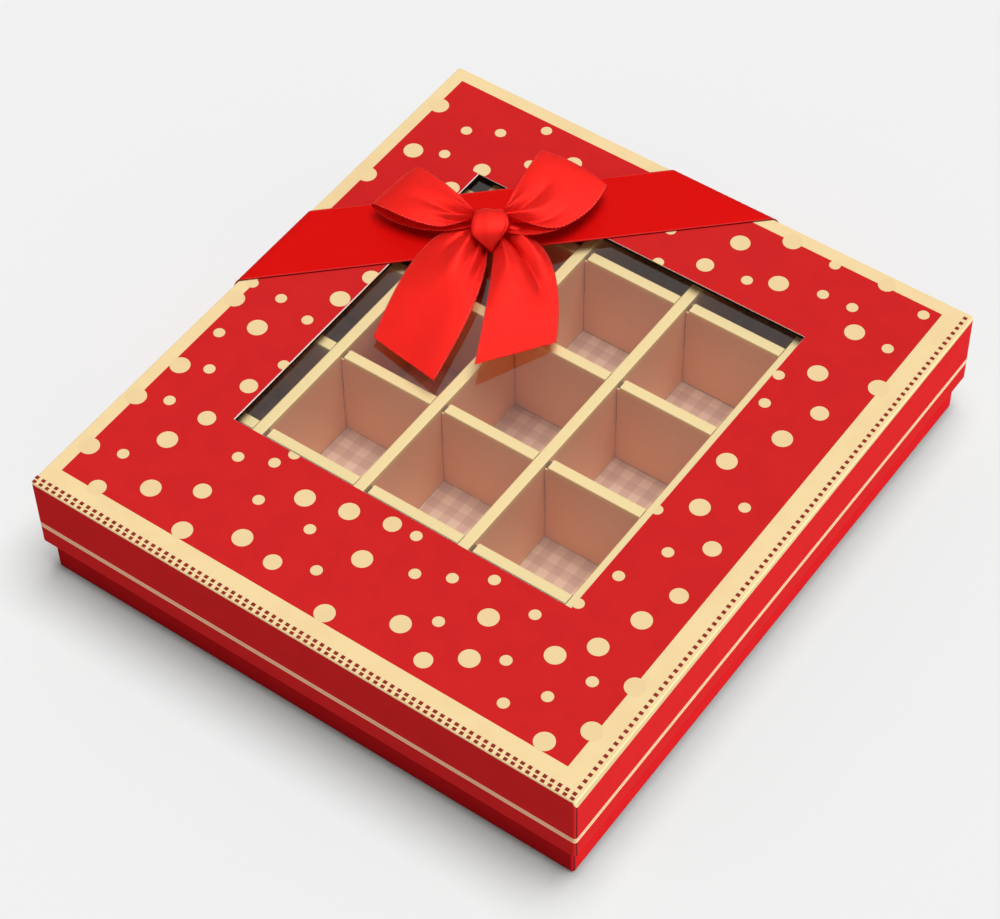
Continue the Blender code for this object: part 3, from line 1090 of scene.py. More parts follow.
        # Cream border faces that look to the right take the darker cream: painted shade on the right flap
        for face in bm.faces:
            if face.material_index == Ink.BORDER and face.normal.x > self.rightwards:
                face.material_index = Ink.MARGIN
        skin.crease_corners((self.low + self.high) / 2, rim + self.fold_radius, top - self.front_margin,
                            self.flap_turn, self.flap_depth)
        skin.finish("lid_paper", Body.LID, self.finishes.print_set(), "lid_wrap",
                    self.paper)

    def slope_margin(self, edges: list[bmesh.types.BMEdge]) -> None:
        """Let the cream margin on the right side run from deep at the front to shallow at the back.

        Args:
            edges: the margin's lower edges.
        """
        for vert in {vert for edge in edges for vert in edge.verts}:
            share = (vert.co.y - self.low.y) / (self.high.y - self.low.y)
            rightwards = (vert.co.x - (self.high.x - self.corner)) / self.corner
            if rightwards > 0:
                drop = self.right_margin_front + (self.right_margin_back - self.right_margin_front) * share
                vert.co.z -= (drop - self.front_margin) * min(rightwards, 1.0)

    def make_dots(self) -> None:
        """Print the cream dots, as thin discs of ink cut off at the window."""
        window = self.window()
        all_dots = bmesh.new()
        sizes = ((self.large_dot, self.LARGE_DOTS), (self.medium_dot, self.MEDIUM_DOTS),
                 (self.small_dot, self.SMALL_DOTS))
        for radius, places in sizes:
            for across, deep in places:
                dot = self.disc(Vector((across * MM, deep * MM, self.high.z)), radius)
                self.clip_to_paper(dot, window)
                spare = bpy.data.meshes.new("dot")
                dot.to_mesh(spare)
                dot.free()
                all_dots.from_mesh(spare)
                bpy.data.meshes.remove(spare)
        new_piece("lid_print_dots", all_dots, Body.LID, [self.finishes.cream])

    def disc(self, middle: Vector, radius: float) -> BMesh:
        """Make a thin disc of ink on the lid's top.

        Args:
            middle: its middle.
            radius: its radius on the paper.

        Returns:
            The disc, half of it sunk into the paper.
        """
        bm = bmesh.new()
        lift = Matrix.Translation(middle)
        bmesh.ops.create_cone(bm, cap_ends=True, segments=self.dot_sides, radius1=radius,
                              radius2=radius - self.ink_height, depth=2 * self.ink_height, matrix=lift)
        return bm

    def clip_to_paper(self, dot: BMesh, window: Oblong) -> None:
        """Cut off the part of a dot that would hang over the window.

        Args:
            dot: the dot.
            window: the window's rectangle.
        """
        sides = ((Vector((window.left, 0, 0)), Vector((1, 0, 0))),
                 (Vector((window.right, 0, 0)), Vector((-1, 0, 0))),
                 (Vector((0, window.front, 0)), Vector((0, 1, 0))),
                 (Vector((0, window.back, 0)), Vector((0, -1, 0))))
        depths = [max((vert.co - point).dot(inwards) for vert in dot.verts) for point, inwards in sides]
        if min(depths) <= 0:
            return
        point, inwards = sides[depths.index(min(depths))]
        slice_at(dot, point, inwards, clear=True)
        bmesh.ops.holes_fill(dot, edges=dot.edges, sides=0)

    def make_squares(self) -> None:
        """Print the small dark squares in rows beside the front and right folds."""
        rows = bmesh.new()
        count = round((self.high.x - self.low.x - self.right_inset) / self.square_pitch) + 1
        for number in range(count):
            across = self.high.x - self.right_inset - number * self.square_pitch
            across = max(across, self.low.x + self.square / 2)
            self.add_square(rows, across, self.low.y + self.front_upper_inset, 1.0, number)
            self.add_square(rows, across + self.front_lower_shift, self.low.y + self.front_lower_inset,
                            self.lower_row_share, number + count)
        deep_count = round((self.high.y - self.low.y) / self.square_pitch)
        for number in range(1, deep_count):
            deep = self.low.y + self.front_upper_inset + number * self.square_pitch
            if deep < self.high.y - self.square / 2:
                self.add_square(rows, self.high.x - self.right_inset, deep, 1.0, number + 2 * count)
        new_piece("lid_print_squares", rows, Body.LID, [self.finishes.dark_ink])

    def add_square(self, rows: BMesh, across: float, deep: float, share: float, seed: int) -> None:
        """Add one printed square with slightly uneven sides.

        Args:
            rows: the mesh that it is added to.
            across: its middle from left to right.
            deep: its middle from front to back.
            share: how much of the usual depth it has.
            seed: its own number, for the unevenness.
        """
        uneven = self.square_play_share * noise.noise(Vector((seed * self.play_step, *self.play_place)))
        depth_share = share * (self.square_depth_share - uneven)
        size = (self.square * (1 + uneven), self.square * depth_share, 2 * self.ink_height)
        lift = Matrix.Translation((across, deep, self.high.z)) @ Matrix.Diagonal((*size, 1.0))
        bmesh.ops.create_cube(rows, size=1.0, matrix=lift)


# The tray


@dataclass
class Tray:
    """The plain tray: paper skin, board, stays, lining and the checked floor sheet."""

    finishes: "Finishes"
    low: Vector = field(default_factory=lambda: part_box("tray_wrap")[0])
    high: Vector = field(default_factory=lambda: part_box("tray_wrap")[1])
    corner: float = 1.1 * MM
    fold_radius: float = 0.7 * MM
    paper: float = 0.25 * MM
    wall_stack: float = 2.0 * MM
    turn_in: float = 9.0 * MM

    # How far in from the walls the wrap starts under the tray, as a share of its half width
    start_share: float = 0.9

    # The flap folded round each corner: where its groove lies, as a share, and how deep
    flap_turn: float = 0.75
    flap_depth: float = 0.16 * MM

    def build(self) -> None:
        """Make the tray's skin and dress its CAD nodes."""
        self.make_skin()
        board = RawBoard("tray chipboard", rgb(0.34, 0.26, 0.19), rgb(0.22, 0.16, 0.11))
        dress("tray_board", board.make())
        dress("tray_lining", self.finishes.lining)
        checks = CheckPaper("check paper", rgb(0.79, 0.58, 0.44), rgb(0.68, 0.46, 0.34),
                            rgb(0.60, 0.38, 0.29), rgb(0.86, 0.72, 0.60))
        dress("floor_sheet", checks.make())
        for place in CORNER_PLACES:
            dress(f"tray_corner_stay_{place}", self.finishes.stay)

    def make_skin(self) -> None:
        """Make the wrap: under the tray, up its sides, over the rim and down inside."""
        base, rim = self.low.z, self.high.z
        faces = Oblong.of(self.low, self.high, self.corner)
        skin = PaperSkin(faces.inside(min(self.high.x, self.high.y) * self.start_share), base)
        skin.fold(faces, base, self.fold_radius, False, True, Ink.FIELD)
        skin.fold(faces, rim, self.fold_radius, True, False, Ink.FIELD)
        inner = faces.inside(self.wall_stack)
        skin.ring(inner, rim, Ink.FIELD)
        skin.ring(inner, rim - self.turn_in, Ink.FIELD)
        bm = skin.bm
        bmesh.ops.holes_fill(bm, edges=[edge for edge in bm.edges if edge.is_boundary
                                        and edge.verts[0].co.z < base + self.paper], sides=0)
        bmesh.ops.recalc_face_normals(bm, faces=bm.faces)
        turn_outwards(bm, lambda face: face.calc_center_median().z < base + self.paper / 2, -UP)
        for face in bm.faces:
            face.material_index = Ink.FIELD
        skin.crease_corners((self.low + self.high) / 2, base + self.fold_radius, rim - self.fold_radius,
                            self.flap_turn, self.flap_depth)
        skin.finish("tray_paper", Body.TRAY, self.finishes.plain_set(), "tray_wrap",
                    self.paper)


# The divider grid


@dataclass
class DividerGrid:
    """Folded card strips: long ones slotted from below over cross ones slotted from above."""

    finishes: "Finishes"
    card: float = 0.4 * MM
    fold_radius: float = 0.38 * MM
    fold_steps: int = 3

    # The half laps: their play, the slack where a crest passes, and how deep the crest is cut
    gap: float = 0.3 * MM
    lap_slack: float = 1.3 * MM
    crest_depth: float = 1.2 * MM

    # How long a bay of the mesh is, how far the legs bow in and out, and over what length
    bay: float = 9.0 * MM
    leg_bow: float = 0.10 * MM
    bow_length: float = 25.0 * MM

    # How far over a slot's top a face may lie, and the least share of a way that a face looks along
    sliver: float = 0.001 * MM
    looks_along: float = 0.5
    long_names: tuple[str, ...] = tuple(f"divider_long_{number}" for number in range(1, 5))
    cross_names: tuple[str, ...] = tuple(f"divider_cross_{number}" for number in range(1, 5))

    def build(self) -> None:
        """Make the eight strips."""
        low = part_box(self.cross_names[0])[0].z
        lap = (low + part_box(self.cross_names[0])[1].z) / 2
        columns = [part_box(name) for name in self.long_names]
        rows = [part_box(name) for name in self.cross_names]
        for name, (start, end) in zip(self.long_names, columns):
            slots = [(row_low.y - self.gap, row_high.y + self.gap) for row_low, row_high in rows]
            bm = self.strip(start, end, 1)
            self.cut_slots(bm, 1, slots, (low, lap + self.gap / 2))
            self.finish_strip(name, bm, start, end, 1)
        for name, (start, end) in zip(self.cross_names, rows):
            crests = [(col_low.x - self.gap, col_high.x + self.lap_slack) for col_low, col_high in columns]
            slots = [(col_low.x - self.gap, col_high.x + self.gap) for col_low, col_high in columns]
            bm = self.strip(start, end, 0)
            self.cut_slots(bm, 0, crests, (end.z - self.crest_depth, end.z))
            self.cut_slots(bm, 0, slots, (lap - self.gap / 2, end.z - self.crest_depth))
            self.finish_strip(name, bm, start, end, 0)

    def strip(self, low: Vector, high: Vector, axis: int) -> BMesh:
        """Fold a card strip to a channel, open below and at its ends.

        Args:
            low: the strip's lowest corner.
            high: its highest corner.
            axis: 0 if it runs along X, 1 along Y.

        Returns:
            The folded sheet, cut across into short bays.
        """
        bm = slab(low, high)
        run = self.way(axis)
        bm.normal_update()
        drop_faces(bm, lambda face: face.normal.z < -self.looks_along
                   or abs(face.normal.dot(run)) > self.looks_along)
        folds = [edge for edge in bm.edges if edge.is_manifold and not edge.is_boundary]
        bmesh.ops.bevel(bm, geom=folds, offset=self.fold_radius, offset_type="OFFSET", affect="EDGES",
                        segments=self.fold_steps, profile=ROUND_PROFILE, material=-1)
        bays = round((high[axis] - low[axis]) / self.bay)
        for number in range(1, bays):
            slice_at(bm, run * (low[axis] + number * (high[axis] - low[axis]) / bays), run)
        return bm

    def way(self, axis: int) -> Vector:
        """The direction of an axis: 0 for X, 1 for Y."""
        return Vector((1 - axis, axis, 0))

    def cut_slots(self, bm: BMesh, axis: int, slots: list[Span], heights: Span) -> None:
        """Cut slots across a folded strip.

        Args:
            bm: the folded sheet.
            axis: 0 if it runs along X, 1 along Y.
            slots: where each slot starts and ends along the strip.
            heights: the heights between which the card is cut away.
        """
        run = self.way(axis)
        for start, end in slots:
            slice_at(bm, run * start, run)
            slice_at(bm, run * end, run)
        for height in heights:
            slice_at(bm, Vector((0, 0, height)), UP)
        bottom, top = heights[0], heights[1] + self.sliver

        def in_slot(face: bmesh.types.BMFace) -> bool:
            """Whether a face lies in one of the slots."""
            centre = face.calc_center_median()
            return bottom < centre.z <= top and any(start < centre[axis] < end for start, end in slots)

        drop_faces(bm, in_slot)

    def finish_strip(self, name: str, bm: BMesh, low: Vector, high: Vector, axis: int) -> None:
        """Let a folded strip's legs bow a little and make it a piece that stands for its node.

        Args:
            name: the node's name.
            bm: the folded and slotted sheet.
            low: the strip's lowest corner.
            high: its highest corner.
            axis: 0 if it runs along X, 1 along Y.
        """
        for vert in bm.verts:
            sway = noise.noise(Vector((vert.co.x, vert.co.y, 0)) / self.bow_length)
            depth = (high.z - vert.co.z) / (high.z - low.z)
            vert.co[1 - axis] += self.leg_bow * sway * math.sin(math.pi * depth)
        piece = new_piece(name.replace("divider", "card_strip"), bm, Body.TRAY,
                          [self.finishes.card], (name,))
        thicken(piece, self.card)


# The ribbon


@dataclass
class RibbonBand:
    """The ribbon laid over the lid's back-left corner and down two sides."""

    width: float = 27.0 * MM
    left_distance: float = 101.5 * MM
    back_distance: float = 106.6 * MM
    thickness: float = 0.3 * MM
    bend_radius: float = 0.85 * MM
    gap: float = 0.25 * MM
    tuck: float = 2.25 * MM

    # How far its flat part lifts off the lid, and how often
    sag: float = 0.04 * MM
    sags_per_metre: float = 60.0

    # Faces that meet at less than this many degrees shade as one
    smooth_below: float = 60.0
    steps: int = 360
    cross_steps: int = 36

    # The planes that the ribbon lies on, and how far it falls down a side
    side: float = field(init=False)
    back: float = field(init=False)
    top: float = field(init=False)
    drop: float = field(init=False)

    def __post_init__(self) -> None:
        """Find the planes, a gap off the lid's faces."""
        low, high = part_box("lid_wrap")
        self.side = low.x - self.gap
        self.back = high.y + self.gap
        self.top = high.z + self.gap
        self.drop = self.top - low.z + self.gap

    def build(self, satin: bpy.types.Material) -> None:
        """Make the band.

        Args:
            satin: its material.
        """
        low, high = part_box("lid_wrap")
        along = Vector((self.back_distance, self.left_distance, 0)).normalized()
        across = Vector((-along.y, along.x, 0))
        left_end = Vector((low.x, high.y - self.left_distance, 0))
        back_end = Vector((low.x + self.back_distance, high.y, 0))
        spare = self.drop + self.tuck

        def place(share: float, sideways: float) -> Vector:
            """Place a point of the band.

            Args:
                share: its share of the length.
                sideways: where it lies from edge to edge, -1 to 1.

            Returns:
                The point.
            """
            start = left_end + across * (sideways * self.width / 2)
            first = (self.side - spare - start.x) / along.x
            last = (self.back + spare - start.y) / along.y
            return self.folded(start + along * (first + (last - first) * share))

        length = (back_end - left_end).length + 2 * spare / along.y
        bm = sheet_grid(self.steps, self.cross_steps, place, length / self.width)
        turn_outwards(bm, lambda face: face.calc_center_median().z > high.z)
        band = new_piece("band_ribbon", bm, Body.LID, [satin], ("ribbon_band",),
                         smooth=self.smooth_below)
        thicken(band, self.thickness, offset=1.0)

    def folded(self, flat: Vector) -> Vector:
        """Find where a point of the flat ribbon lies once it is folded over the lid's edges.

        Args:
            flat: the point on the flat ribbon.

        Returns:
            The folded point.
        """
        bend = self.round_edge(self.side - flat.x)
        if bend:
            inwards, fall = bend
            return Vector((self.side + inwards, flat.y, self.top - fall))
        bend = self.round_edge(flat.y - self.back)
        if bend:
            inwards, fall = bend
            return Vector((flat.x, self.back - inwards, self.top - fall))
        sag = self.sag * noise.noise(flat * self.sags_per_metre)
        return Vector((flat.x, flat.y, self.top + abs(sag)))

    def round_edge(self, over: float) -> Span | None:
        """Find how far in and how far down a point lies that is so far over an edge.

        Args:
            over: the flat distance past the edge, less than nought before it.

        Returns:
            The distance in from the side's face and the fall, or None before the bend.
        """
        radius = self.bend_radius
        if over <= -radius:
            return None
        run = over + radius
        arc = radius * math.pi / 2
        if run < arc:
            angle = run / radius
            return radius * (1 - math.sin(angle)), radius * (1 - math.cos(angle))
        down = radius + (run - arc)
        if down < self.drop - radius:
            return 0.0, down
        angle = min((down - (self.drop - radius)) / radius, math.pi / 2)
        under = max(down - (self.drop - radius) - arc, 0.0)
        return radius * (1 - math.cos(angle)) + under, self.drop - radius + radius * math.sin(angle)


def bezier(points: tuple[tuple[float, float, float], ...], share: float, scale: float) -> Vector:
    """Find a point on a curve of four points.

    Args:
        points: the four points, as shares of a size.
        share: how far along the curve it lies.
        scale: the size.

    Returns:
        The point.
    """
    a, b, c, d = (Vector(point) * scale for point in points)
    rest = 1 - share
    return a * rest ** 3 + b * 3 * rest ** 2 * share + c * 3 * rest * share ** 2 + d * share ** 3


def between(stations: tuple[float, ...], along: float) -> float:
    """Read evenly spaced stations on a smooth curve through them.

    Args:
        stations: the numbers at the stations.
        along: the share along them.

    Returns:
        The number there.
    """
    last = len(stations) - 1
    spot = min(max(along, 0.0), 1.0) * last
    start = min(int(spot), last - 1)
    share = spot - start
    a, b, c, d = (stations[min(max(start + step, 0), last)] for step in (-1, 0, 1, 2))
    bend = 2 * a - 5 * b + 4 * c - d
    return b + HALF * share * (c - a + share * (bend + share * (3 * (b - c) + d - a)))


def length_along(place: Place, steps: int = 60) -> float:
    """The flat length of a ribbon along its middle, read in so many steps."""
    points = [place(step / steps, 0.0) for step in range(steps + 1)]
    return sum((after - before).length for before, after in zip(points, points[1:]))


@dataclass(frozen=True)
class Pleat:
    """One gathered fold: where it lies across the ribbon, how it drifts, how wide and deep it is.

    A low sharpness gives a crisp crease and two gives a soft roll.
    """

    across: float
    drift: float
    breadth: float
    depth: float
    reach: float
    sharpness: float = 2.0
    spread: float = 1.2

    # How fast it fades outwards, how fast and from what share it rises at the knot, and what share
    # of its breadth it has there
    fade_power: ClassVar[float] = 1.1
    rise: ClassVar[float] = 14.0
    root_share: ClassVar[float] = 0.35
    root_breadth: ClassVar[float] = 0.5

    def height(self, out: float, across: float) -> float:
        """Find the fold's height.

        Args:
            out: the share of the way from the knot to the tip.
            across: where it lies from edge to edge, -1 to 1.

        Returns:
            The height, as a share of the ribbon's width.
        """
        fade = max(1 - out / self.reach, 0.0) ** self.fade_power
        breadth = self.breadth * (self.root_breadth + self.spread * out)
        offset = abs(across - self.across - self.drift * out) / breadth
        rise = min(out * self.rise + self.root_share, 1.0)
        return self.depth * fade * rise * math.exp(-offset ** self.sharpness)


@dataclass(frozen=True)
class LoopForm:
    """A loop of the bow: its two edges, as shares of the ribbon's width, its opening and its gathers.

    The front and back opening say how far its layers part, the bulge how far the middle of its tip
    stands out, and the tucks how far each layer's front edge is drawn back at the knot.
    """

    name: str
    node: str
    back_edge: tuple
    front_edge: tuple
    front_open: float
    back_open: float
    bulge: float
    upper_tuck: float
    under_tuck: float
    pleats: tuple[Pleat, ...]
    under_pleats: tuple[Pleat, ...]
    seed: float

    def outwards(self) -> Vector:
        """Find the level way square to the tip's edge.

        Returns:
            The way, of length one.
        """
        front, back = Vector(self.front_edge[-1]), Vector(self.back_edge[-1])
        tip = front - back
        way = Vector((tip.y, -tip.x, 0)).normalized()
        return way if way.dot(front + back) > 0 else -way


@dataclass(frozen=True)
class TailForm:
    """A tail of the bow: its two edges, as shares of the ribbon's width, and its gathers."""

    name: str
    node: str
    left_edge: tuple
    right_edge: tuple
    pleats: tuple[Pleat, ...]
    seed: float


@dataclass
class Bow:
    """Two loops, two tails and the wrapped knot, tied from one satin ribbon."""

    finishes: "Finishes"
    width: float = 25.0 * MM
    turn: float = math.radians(36.0)
    thickness: float = 0.25 * MM
    loop_steps: int = 120
    tail_steps: int = 90
    cross_steps: int = 44

    # Faces that meet at less than this many degrees shade as one
    smooth_below: float = 80.0

    LEFT_LOOP = LoopForm(
        "bow_left_loop_ribbon", "bow_loop_left",
        ((-0.12, 0.14, 0.25), (-0.32, 0.48, 0.28), (-0.64, 0.78, 0.31), (-0.96, 1.08, 0.30)),
        ((-0.12, 0.11, 0.25), (-0.44, -0.11, 0.24), (-1.08, 0.02, 0.23), (-1.54, 0.50, 0.20)),
        0.34, 0.13, 0.025, 0.30, 0.10,
        (Pleat(-1.00, 0.00, 0.42, 0.130, 0.40), Pleat(-0.60, 0.10, 0.13, -0.110, 0.62, 1.3),
         Pleat(-0.24, -0.15, 0.20, 0.080, 0.80, 1.6), Pleat(0.12, -0.20, 0.20, -0.120, 0.90, 1.5),
         Pleat(0.50, 0.05, 0.16, 0.060, 0.65, 1.5), Pleat(0.82, 0.00, 0.12, -0.050, 0.50, 1.4)),
        (Pleat(-0.30, 0.0, 0.20, -0.030, 0.6),), 1.3)
    RIGHT_LOOP = LoopForm(
        "bow_right_loop_ribbon", "bow_loop_right",
        ((0.12, 0.14, 0.25), (0.24, 0.50, 0.28), (0.48, 0.96, 0.32), (0.66, 1.33, 0.31)),
        ((0.12, 0.00, 0.25), (0.50, -0.26, 0.24), (1.24, -0.04, 0.24), (1.51, 0.74, 0.23)),
        0.015, 0.13, 0.080, 0.75, 0.0,
        (Pleat(-1.00, 0.00, 0.30, 0.130, 0.55), Pleat(-0.62, 0.10, 0.15, -0.120, 0.70, 1.3),
         Pleat(-0.20, 0.00, 0.18, 0.075, 0.85, 1.6), Pleat(0.20, 0.10, 0.13, -0.100, 0.80, 1.3),
         Pleat(0.55, 0.05, 0.14, 0.050, 0.60, 1.6), Pleat(0.84, 0.00, 0.10, -0.045, 0.50, 1.4)),
        (Pleat(-0.50, 0.0, 0.30, -0.040, 0.7),), 4.1)
    LEFT_TAIL = TailForm(
        "bow_left_tail_ribbon", "bow_tail_left",
        ((-0.16, 0.11, 0.16), (-0.82, 0.27, 0.17), (-1.16, -0.54, 0.03), (-1.49, -1.62, 0.015)),
        ((-0.05, -0.02, 0.125), (-0.02, -0.80, 0.13), (-0.32, -1.44, 0.01), (-0.72, -2.40, 0.06)),
        (Pleat(-0.50, 0.10, 0.12, -0.100, 0.45, 1.3, 2.0), Pleat(-0.05, 0.10, 0.20, 0.075, 0.55),
         Pleat(0.36, -0.10, 0.13, -0.085, 0.50, 1.3), Pleat(0.80, -0.25, 0.22, -0.150, 0.50)), 7.7)
    RIGHT_TAIL = TailForm(
        "bow_right_tail_ribbon", "bow_tail_right",
        ((0.05, -0.02, 0.125), (0.02, -0.72, 0.20), (-0.10, -1.44, 0.14), (-0.22, -2.20, 0.13)),
        ((0.14, 0.10, 0.115), (0.76, 0.12, 0.13), (0.94, -0.72, 0.03), (0.80, -1.74, 0.01)),
        (Pleat(0.00, 0.85, 0.17, -0.230, 0.80, 1.4, 1.1), Pleat(-0.46, 0.35, 0.18, 0.080, 0.55, 1.5),
         Pleat(0.50, 0.55, 0.18, 0.090, 0.65), Pleat(0.84, 0.10, 0.12, -0.070, 0.45, 1.3)), 9.2)

    loop_root_half_height: float = 0.022
    loop_crown: float = 0.06
    loop_tip_power: float = 2.6
    bulge_power: float = 3.0
    tuck_reach: float = 0.50
    tuck_power: float = 1.5
    tail_crown: float = 0.085

    # Ripples of the cloth: their height, how many lie along and across a loop and a tail, and how
    # fast they and the gathers of a tail rise from the knot
    ripple: float = 0.012
    loop_ripples: Span = (2.2, 1.7)
    tail_ripples: Span = (2.5, 1.5)
    tail_ripple_rise: float = 4.0
    tail_gather_rise: float = 12.0

    # The wrapped knot, as shares of the ribbon's width, at stations from back to front:
    # how far back, how high, its half width and how far it leans to the right
    knot_back: tuple[float, ...] = (0.20, 0.25, 0.22, 0.10, -0.07, -0.21, -0.30, -0.31)
    knot_rise: tuple[float, ...] = (0.08, 0.24, 0.38, 0.435, 0.41, 0.33, 0.22, 0.12)
    knot_half_widths: tuple[float, ...] = (0.15, 0.17, 0.19, 0.225, 0.25, 0.20, 0.075, 0.02)
    knot_lean: tuple[float, ...] = (-0.02, -0.02, -0.013, -0.01, -0.01, -0.04, -0.015, 0.0)
    knot_core: tuple[float, float] = (0.0, 0.16)
    knot_squareness: float = 8.0
    knot_steps: int = 72
    knot_cross_steps: int = 48

    # The knot's turned rim and ridge, the share of the round that its cloth covers, the share of the
    # ribbon's width that it is folded to, and how much of its height its crown takes up
    KNOT_RIM = Pleat(0.66, -0.02, 0.07, -0.009, 40.0, 1.4, 0.0)
    KNOT_RIDGE = Pleat(-0.30, 0.45, 0.42, 0.007, 40.0, 2.0, 0.0)
    knot_round_share: float = 0.99
    knot_width_share: float = 0.6
    knot_crest_share: float = 0.85

    stand: Matrix = field(init=False)

    def __post_init__(self) -> None:
        """Find where the bow stands: over its glue pad, on the lid's top."""
        pad_low, pad_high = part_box("bow_glue_pad")
        seat = (pad_low + pad_high) / 2
        seat.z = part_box("lid_wrap")[1].z
        self.stand = Matrix.Translation(seat) @ Matrix.Rotation(self.turn, 4, "Z")

    def build(self, satin: bpy.types.Material) -> None:
        """Make the bow's pieces.

        Args:
            satin: the ribbon's material.
        """
        dress("bow_glue_pad", self.finishes.glue)
        for form in (self.LEFT_LOOP, self.RIGHT_LOOP):
            self.make_loop(form, satin)
        for form in (self.LEFT_TAIL, self.RIGHT_TAIL):
            self.make_tail(form, satin)
        self.make_knot(satin)

    def ribbon(self, form: LoopForm | TailForm, place: Place, steps: int, satin: bpy.types.Material) -> None:
        """Make one loop or tail from its rule.

        Args:
            form: its form, for its name and its node.
            place: gives a point in the bow's own frame for shares along and across.
            steps: cells along it.
            satin: its material.
        """
        length = length_along(place)
        bm = sheet_grid(steps, self.cross_steps, place, length / self.width)
        bm.transform(self.stand)
        turn_outwards(bm, lambda face: True)
        piece = new_piece(form.name, bm, Body.LID, [satin], (form.node,),
                          smooth=self.smooth_below)
        thicken(piece, self.thickness, offset=0.0)
        area = sum(face.area for face in piece.data.polygons)
        min(area, self.width * length)

    def between_edges(self, one: tuple, other: tuple, along: float, side: float) -> Vector:
        """The point a share along two edges and a share of the way from one to the other."""
        return bezier(one, along, self.width).lerp(bezier(other, along, self.width), side)

    def make_loop(self, form: LoopForm, satin: bpy.types.Material) -> None:
        """Make one loop: out over the top, round the tip and back underneath.

        Args:
            form: its form.
            satin: its material.
        """
        outwards = form.outwards()

        def place(along: float, across: float) -> Vector:
            """Place a point of the loop.

            Args:
                along: its share of the length.
                across: where it lies from edge to edge, -1 to 1.

            Returns:
                The point, in the bow's own frame.
            """
            turn = 2 * math.pi * along
            out = (1 - math.cos(turn)) / 2
            level = math.cos(turn / 2)
            upper = level > 0
            tuck = form.upper_tuck if upper else form.under_tuck
            tuck *= max(1 - out / self.tuck_reach, 0.0) ** self.tuck_power
            middling = 1 - across ** 2
            side = (across + 1) / 2
            side += tuck * (1 - side)
            spot = self.between_edges(form.front_edge, form.back_edge, out, side)
            half = (self.loop_root_half_height * (1 - out) + self.loop_crown * out * middling
                    + form.front_open * out ** self.loop_tip_power * (1 - side) + form.back_open * out * side)
            gather = sum(pleat.height(out, across) for pleat in (form.pleats if upper else form.under_pleats))
            waves_out, waves_across = self.loop_ripples
            where = Vector((out * waves_out, across * waves_across, form.seed + upper))
            spot.z += (level * half + gather + self.ripple * noise.noise(where) * out) * self.width
            return spot + outwards * (form.bulge * middling * out ** self.bulge_power * self.width)

        self.ribbon(form, place, self.loop_steps, satin)

    def make_tail(self, form: TailForm, satin: bpy.types.Material) -> None:
        """Make one tail: crowned and pleated at the knot, smoother towards its slanted cut end.

        Args:
            form: its form.
            satin: its material.
        """

        def place(along: float, across: float) -> Vector:
            """Place a point of the tail.

            Args:
                along: its share of the length.
                across: where it lies from edge to edge, -1 to 1.

            Returns:
                The point, in the bow's own frame.
            """
            side = (across + 1) / 2
            spot = self.between_edges(form.left_edge, form.right_edge, along, side)
            crown = self.tail_crown * (1 - across ** 2) * math.sin(math.pi * math.sqrt(along)) ** 2
            gather = sum(pleat.height(along, across) for pleat in form.pleats)
            gather *= min(along * self.tail_gather_rise, 1.0)
            waves_along, waves_across = self.tail_ripples
            where = Vector((along * waves_along, across * waves_across, form.seed))
            ripple = self.ripple * noise.noise(where)
            spot.z += (crown + gather + ripple * min(along * self.tail_ripple_rise, 1.0)) * self.width
            return spot

        self.ribbon(form, place, self.tail_steps, satin)

    def make_knot(self, satin: bpy.types.Material) -> None:
        """Make the knot: the ribbon wrapped over the gathers from back to front, pointed at the front.

        Args:
            satin: its material.
        """
        core_back, core_rise = self.knot_core

        def place(along: float, across: float) -> Vector:
            """Place a point of the knot.

            Args:
                along: its share of the length, from back to front.
                across: where it lies from edge to edge, -1 to 1.

            Returns:
                The point, in the bow's own frame.
            """
            side = math.sin(across * self.knot_round_share * math.pi / 2)
            round_off = (1 - abs(side) ** self.knot_squareness) ** (1 / self.knot_squareness)
            folds = self.KNOT_RIM.height(along, across) + self.KNOT_RIDGE.height(along, across)
            reach = round_off + folds / core_rise
            back = core_back + (between(self.knot_back, along) - core_back) * reach
            rise = core_rise + (between(self.knot_rise, along) - core_rise) * reach
            right = between(self.knot_half_widths, along) * side
            return Vector((right + between(self.knot_lean, along), back, rise)) * self.width

        length = length_along(place)
        bm = sheet_grid(self.knot_steps, self.knot_cross_steps, place, length / self.width)
        bm.transform(self.stand)
        crest = self.stand.translation.z + max(self.knot_rise) * self.width * self.knot_crest_share
        turn_outwards(bm, lambda face: face.calc_center_median().z > crest)
        piece = new_piece("bow_knot_ribbon", bm, Body.LID, [satin], ("bow_knot",),
                          smooth=self.smooth_below)
        thicken(piece, self.thickness, offset=-1.0)
        flat = (self.width * self.knot_width_share, length)


# Finishes of the whole box


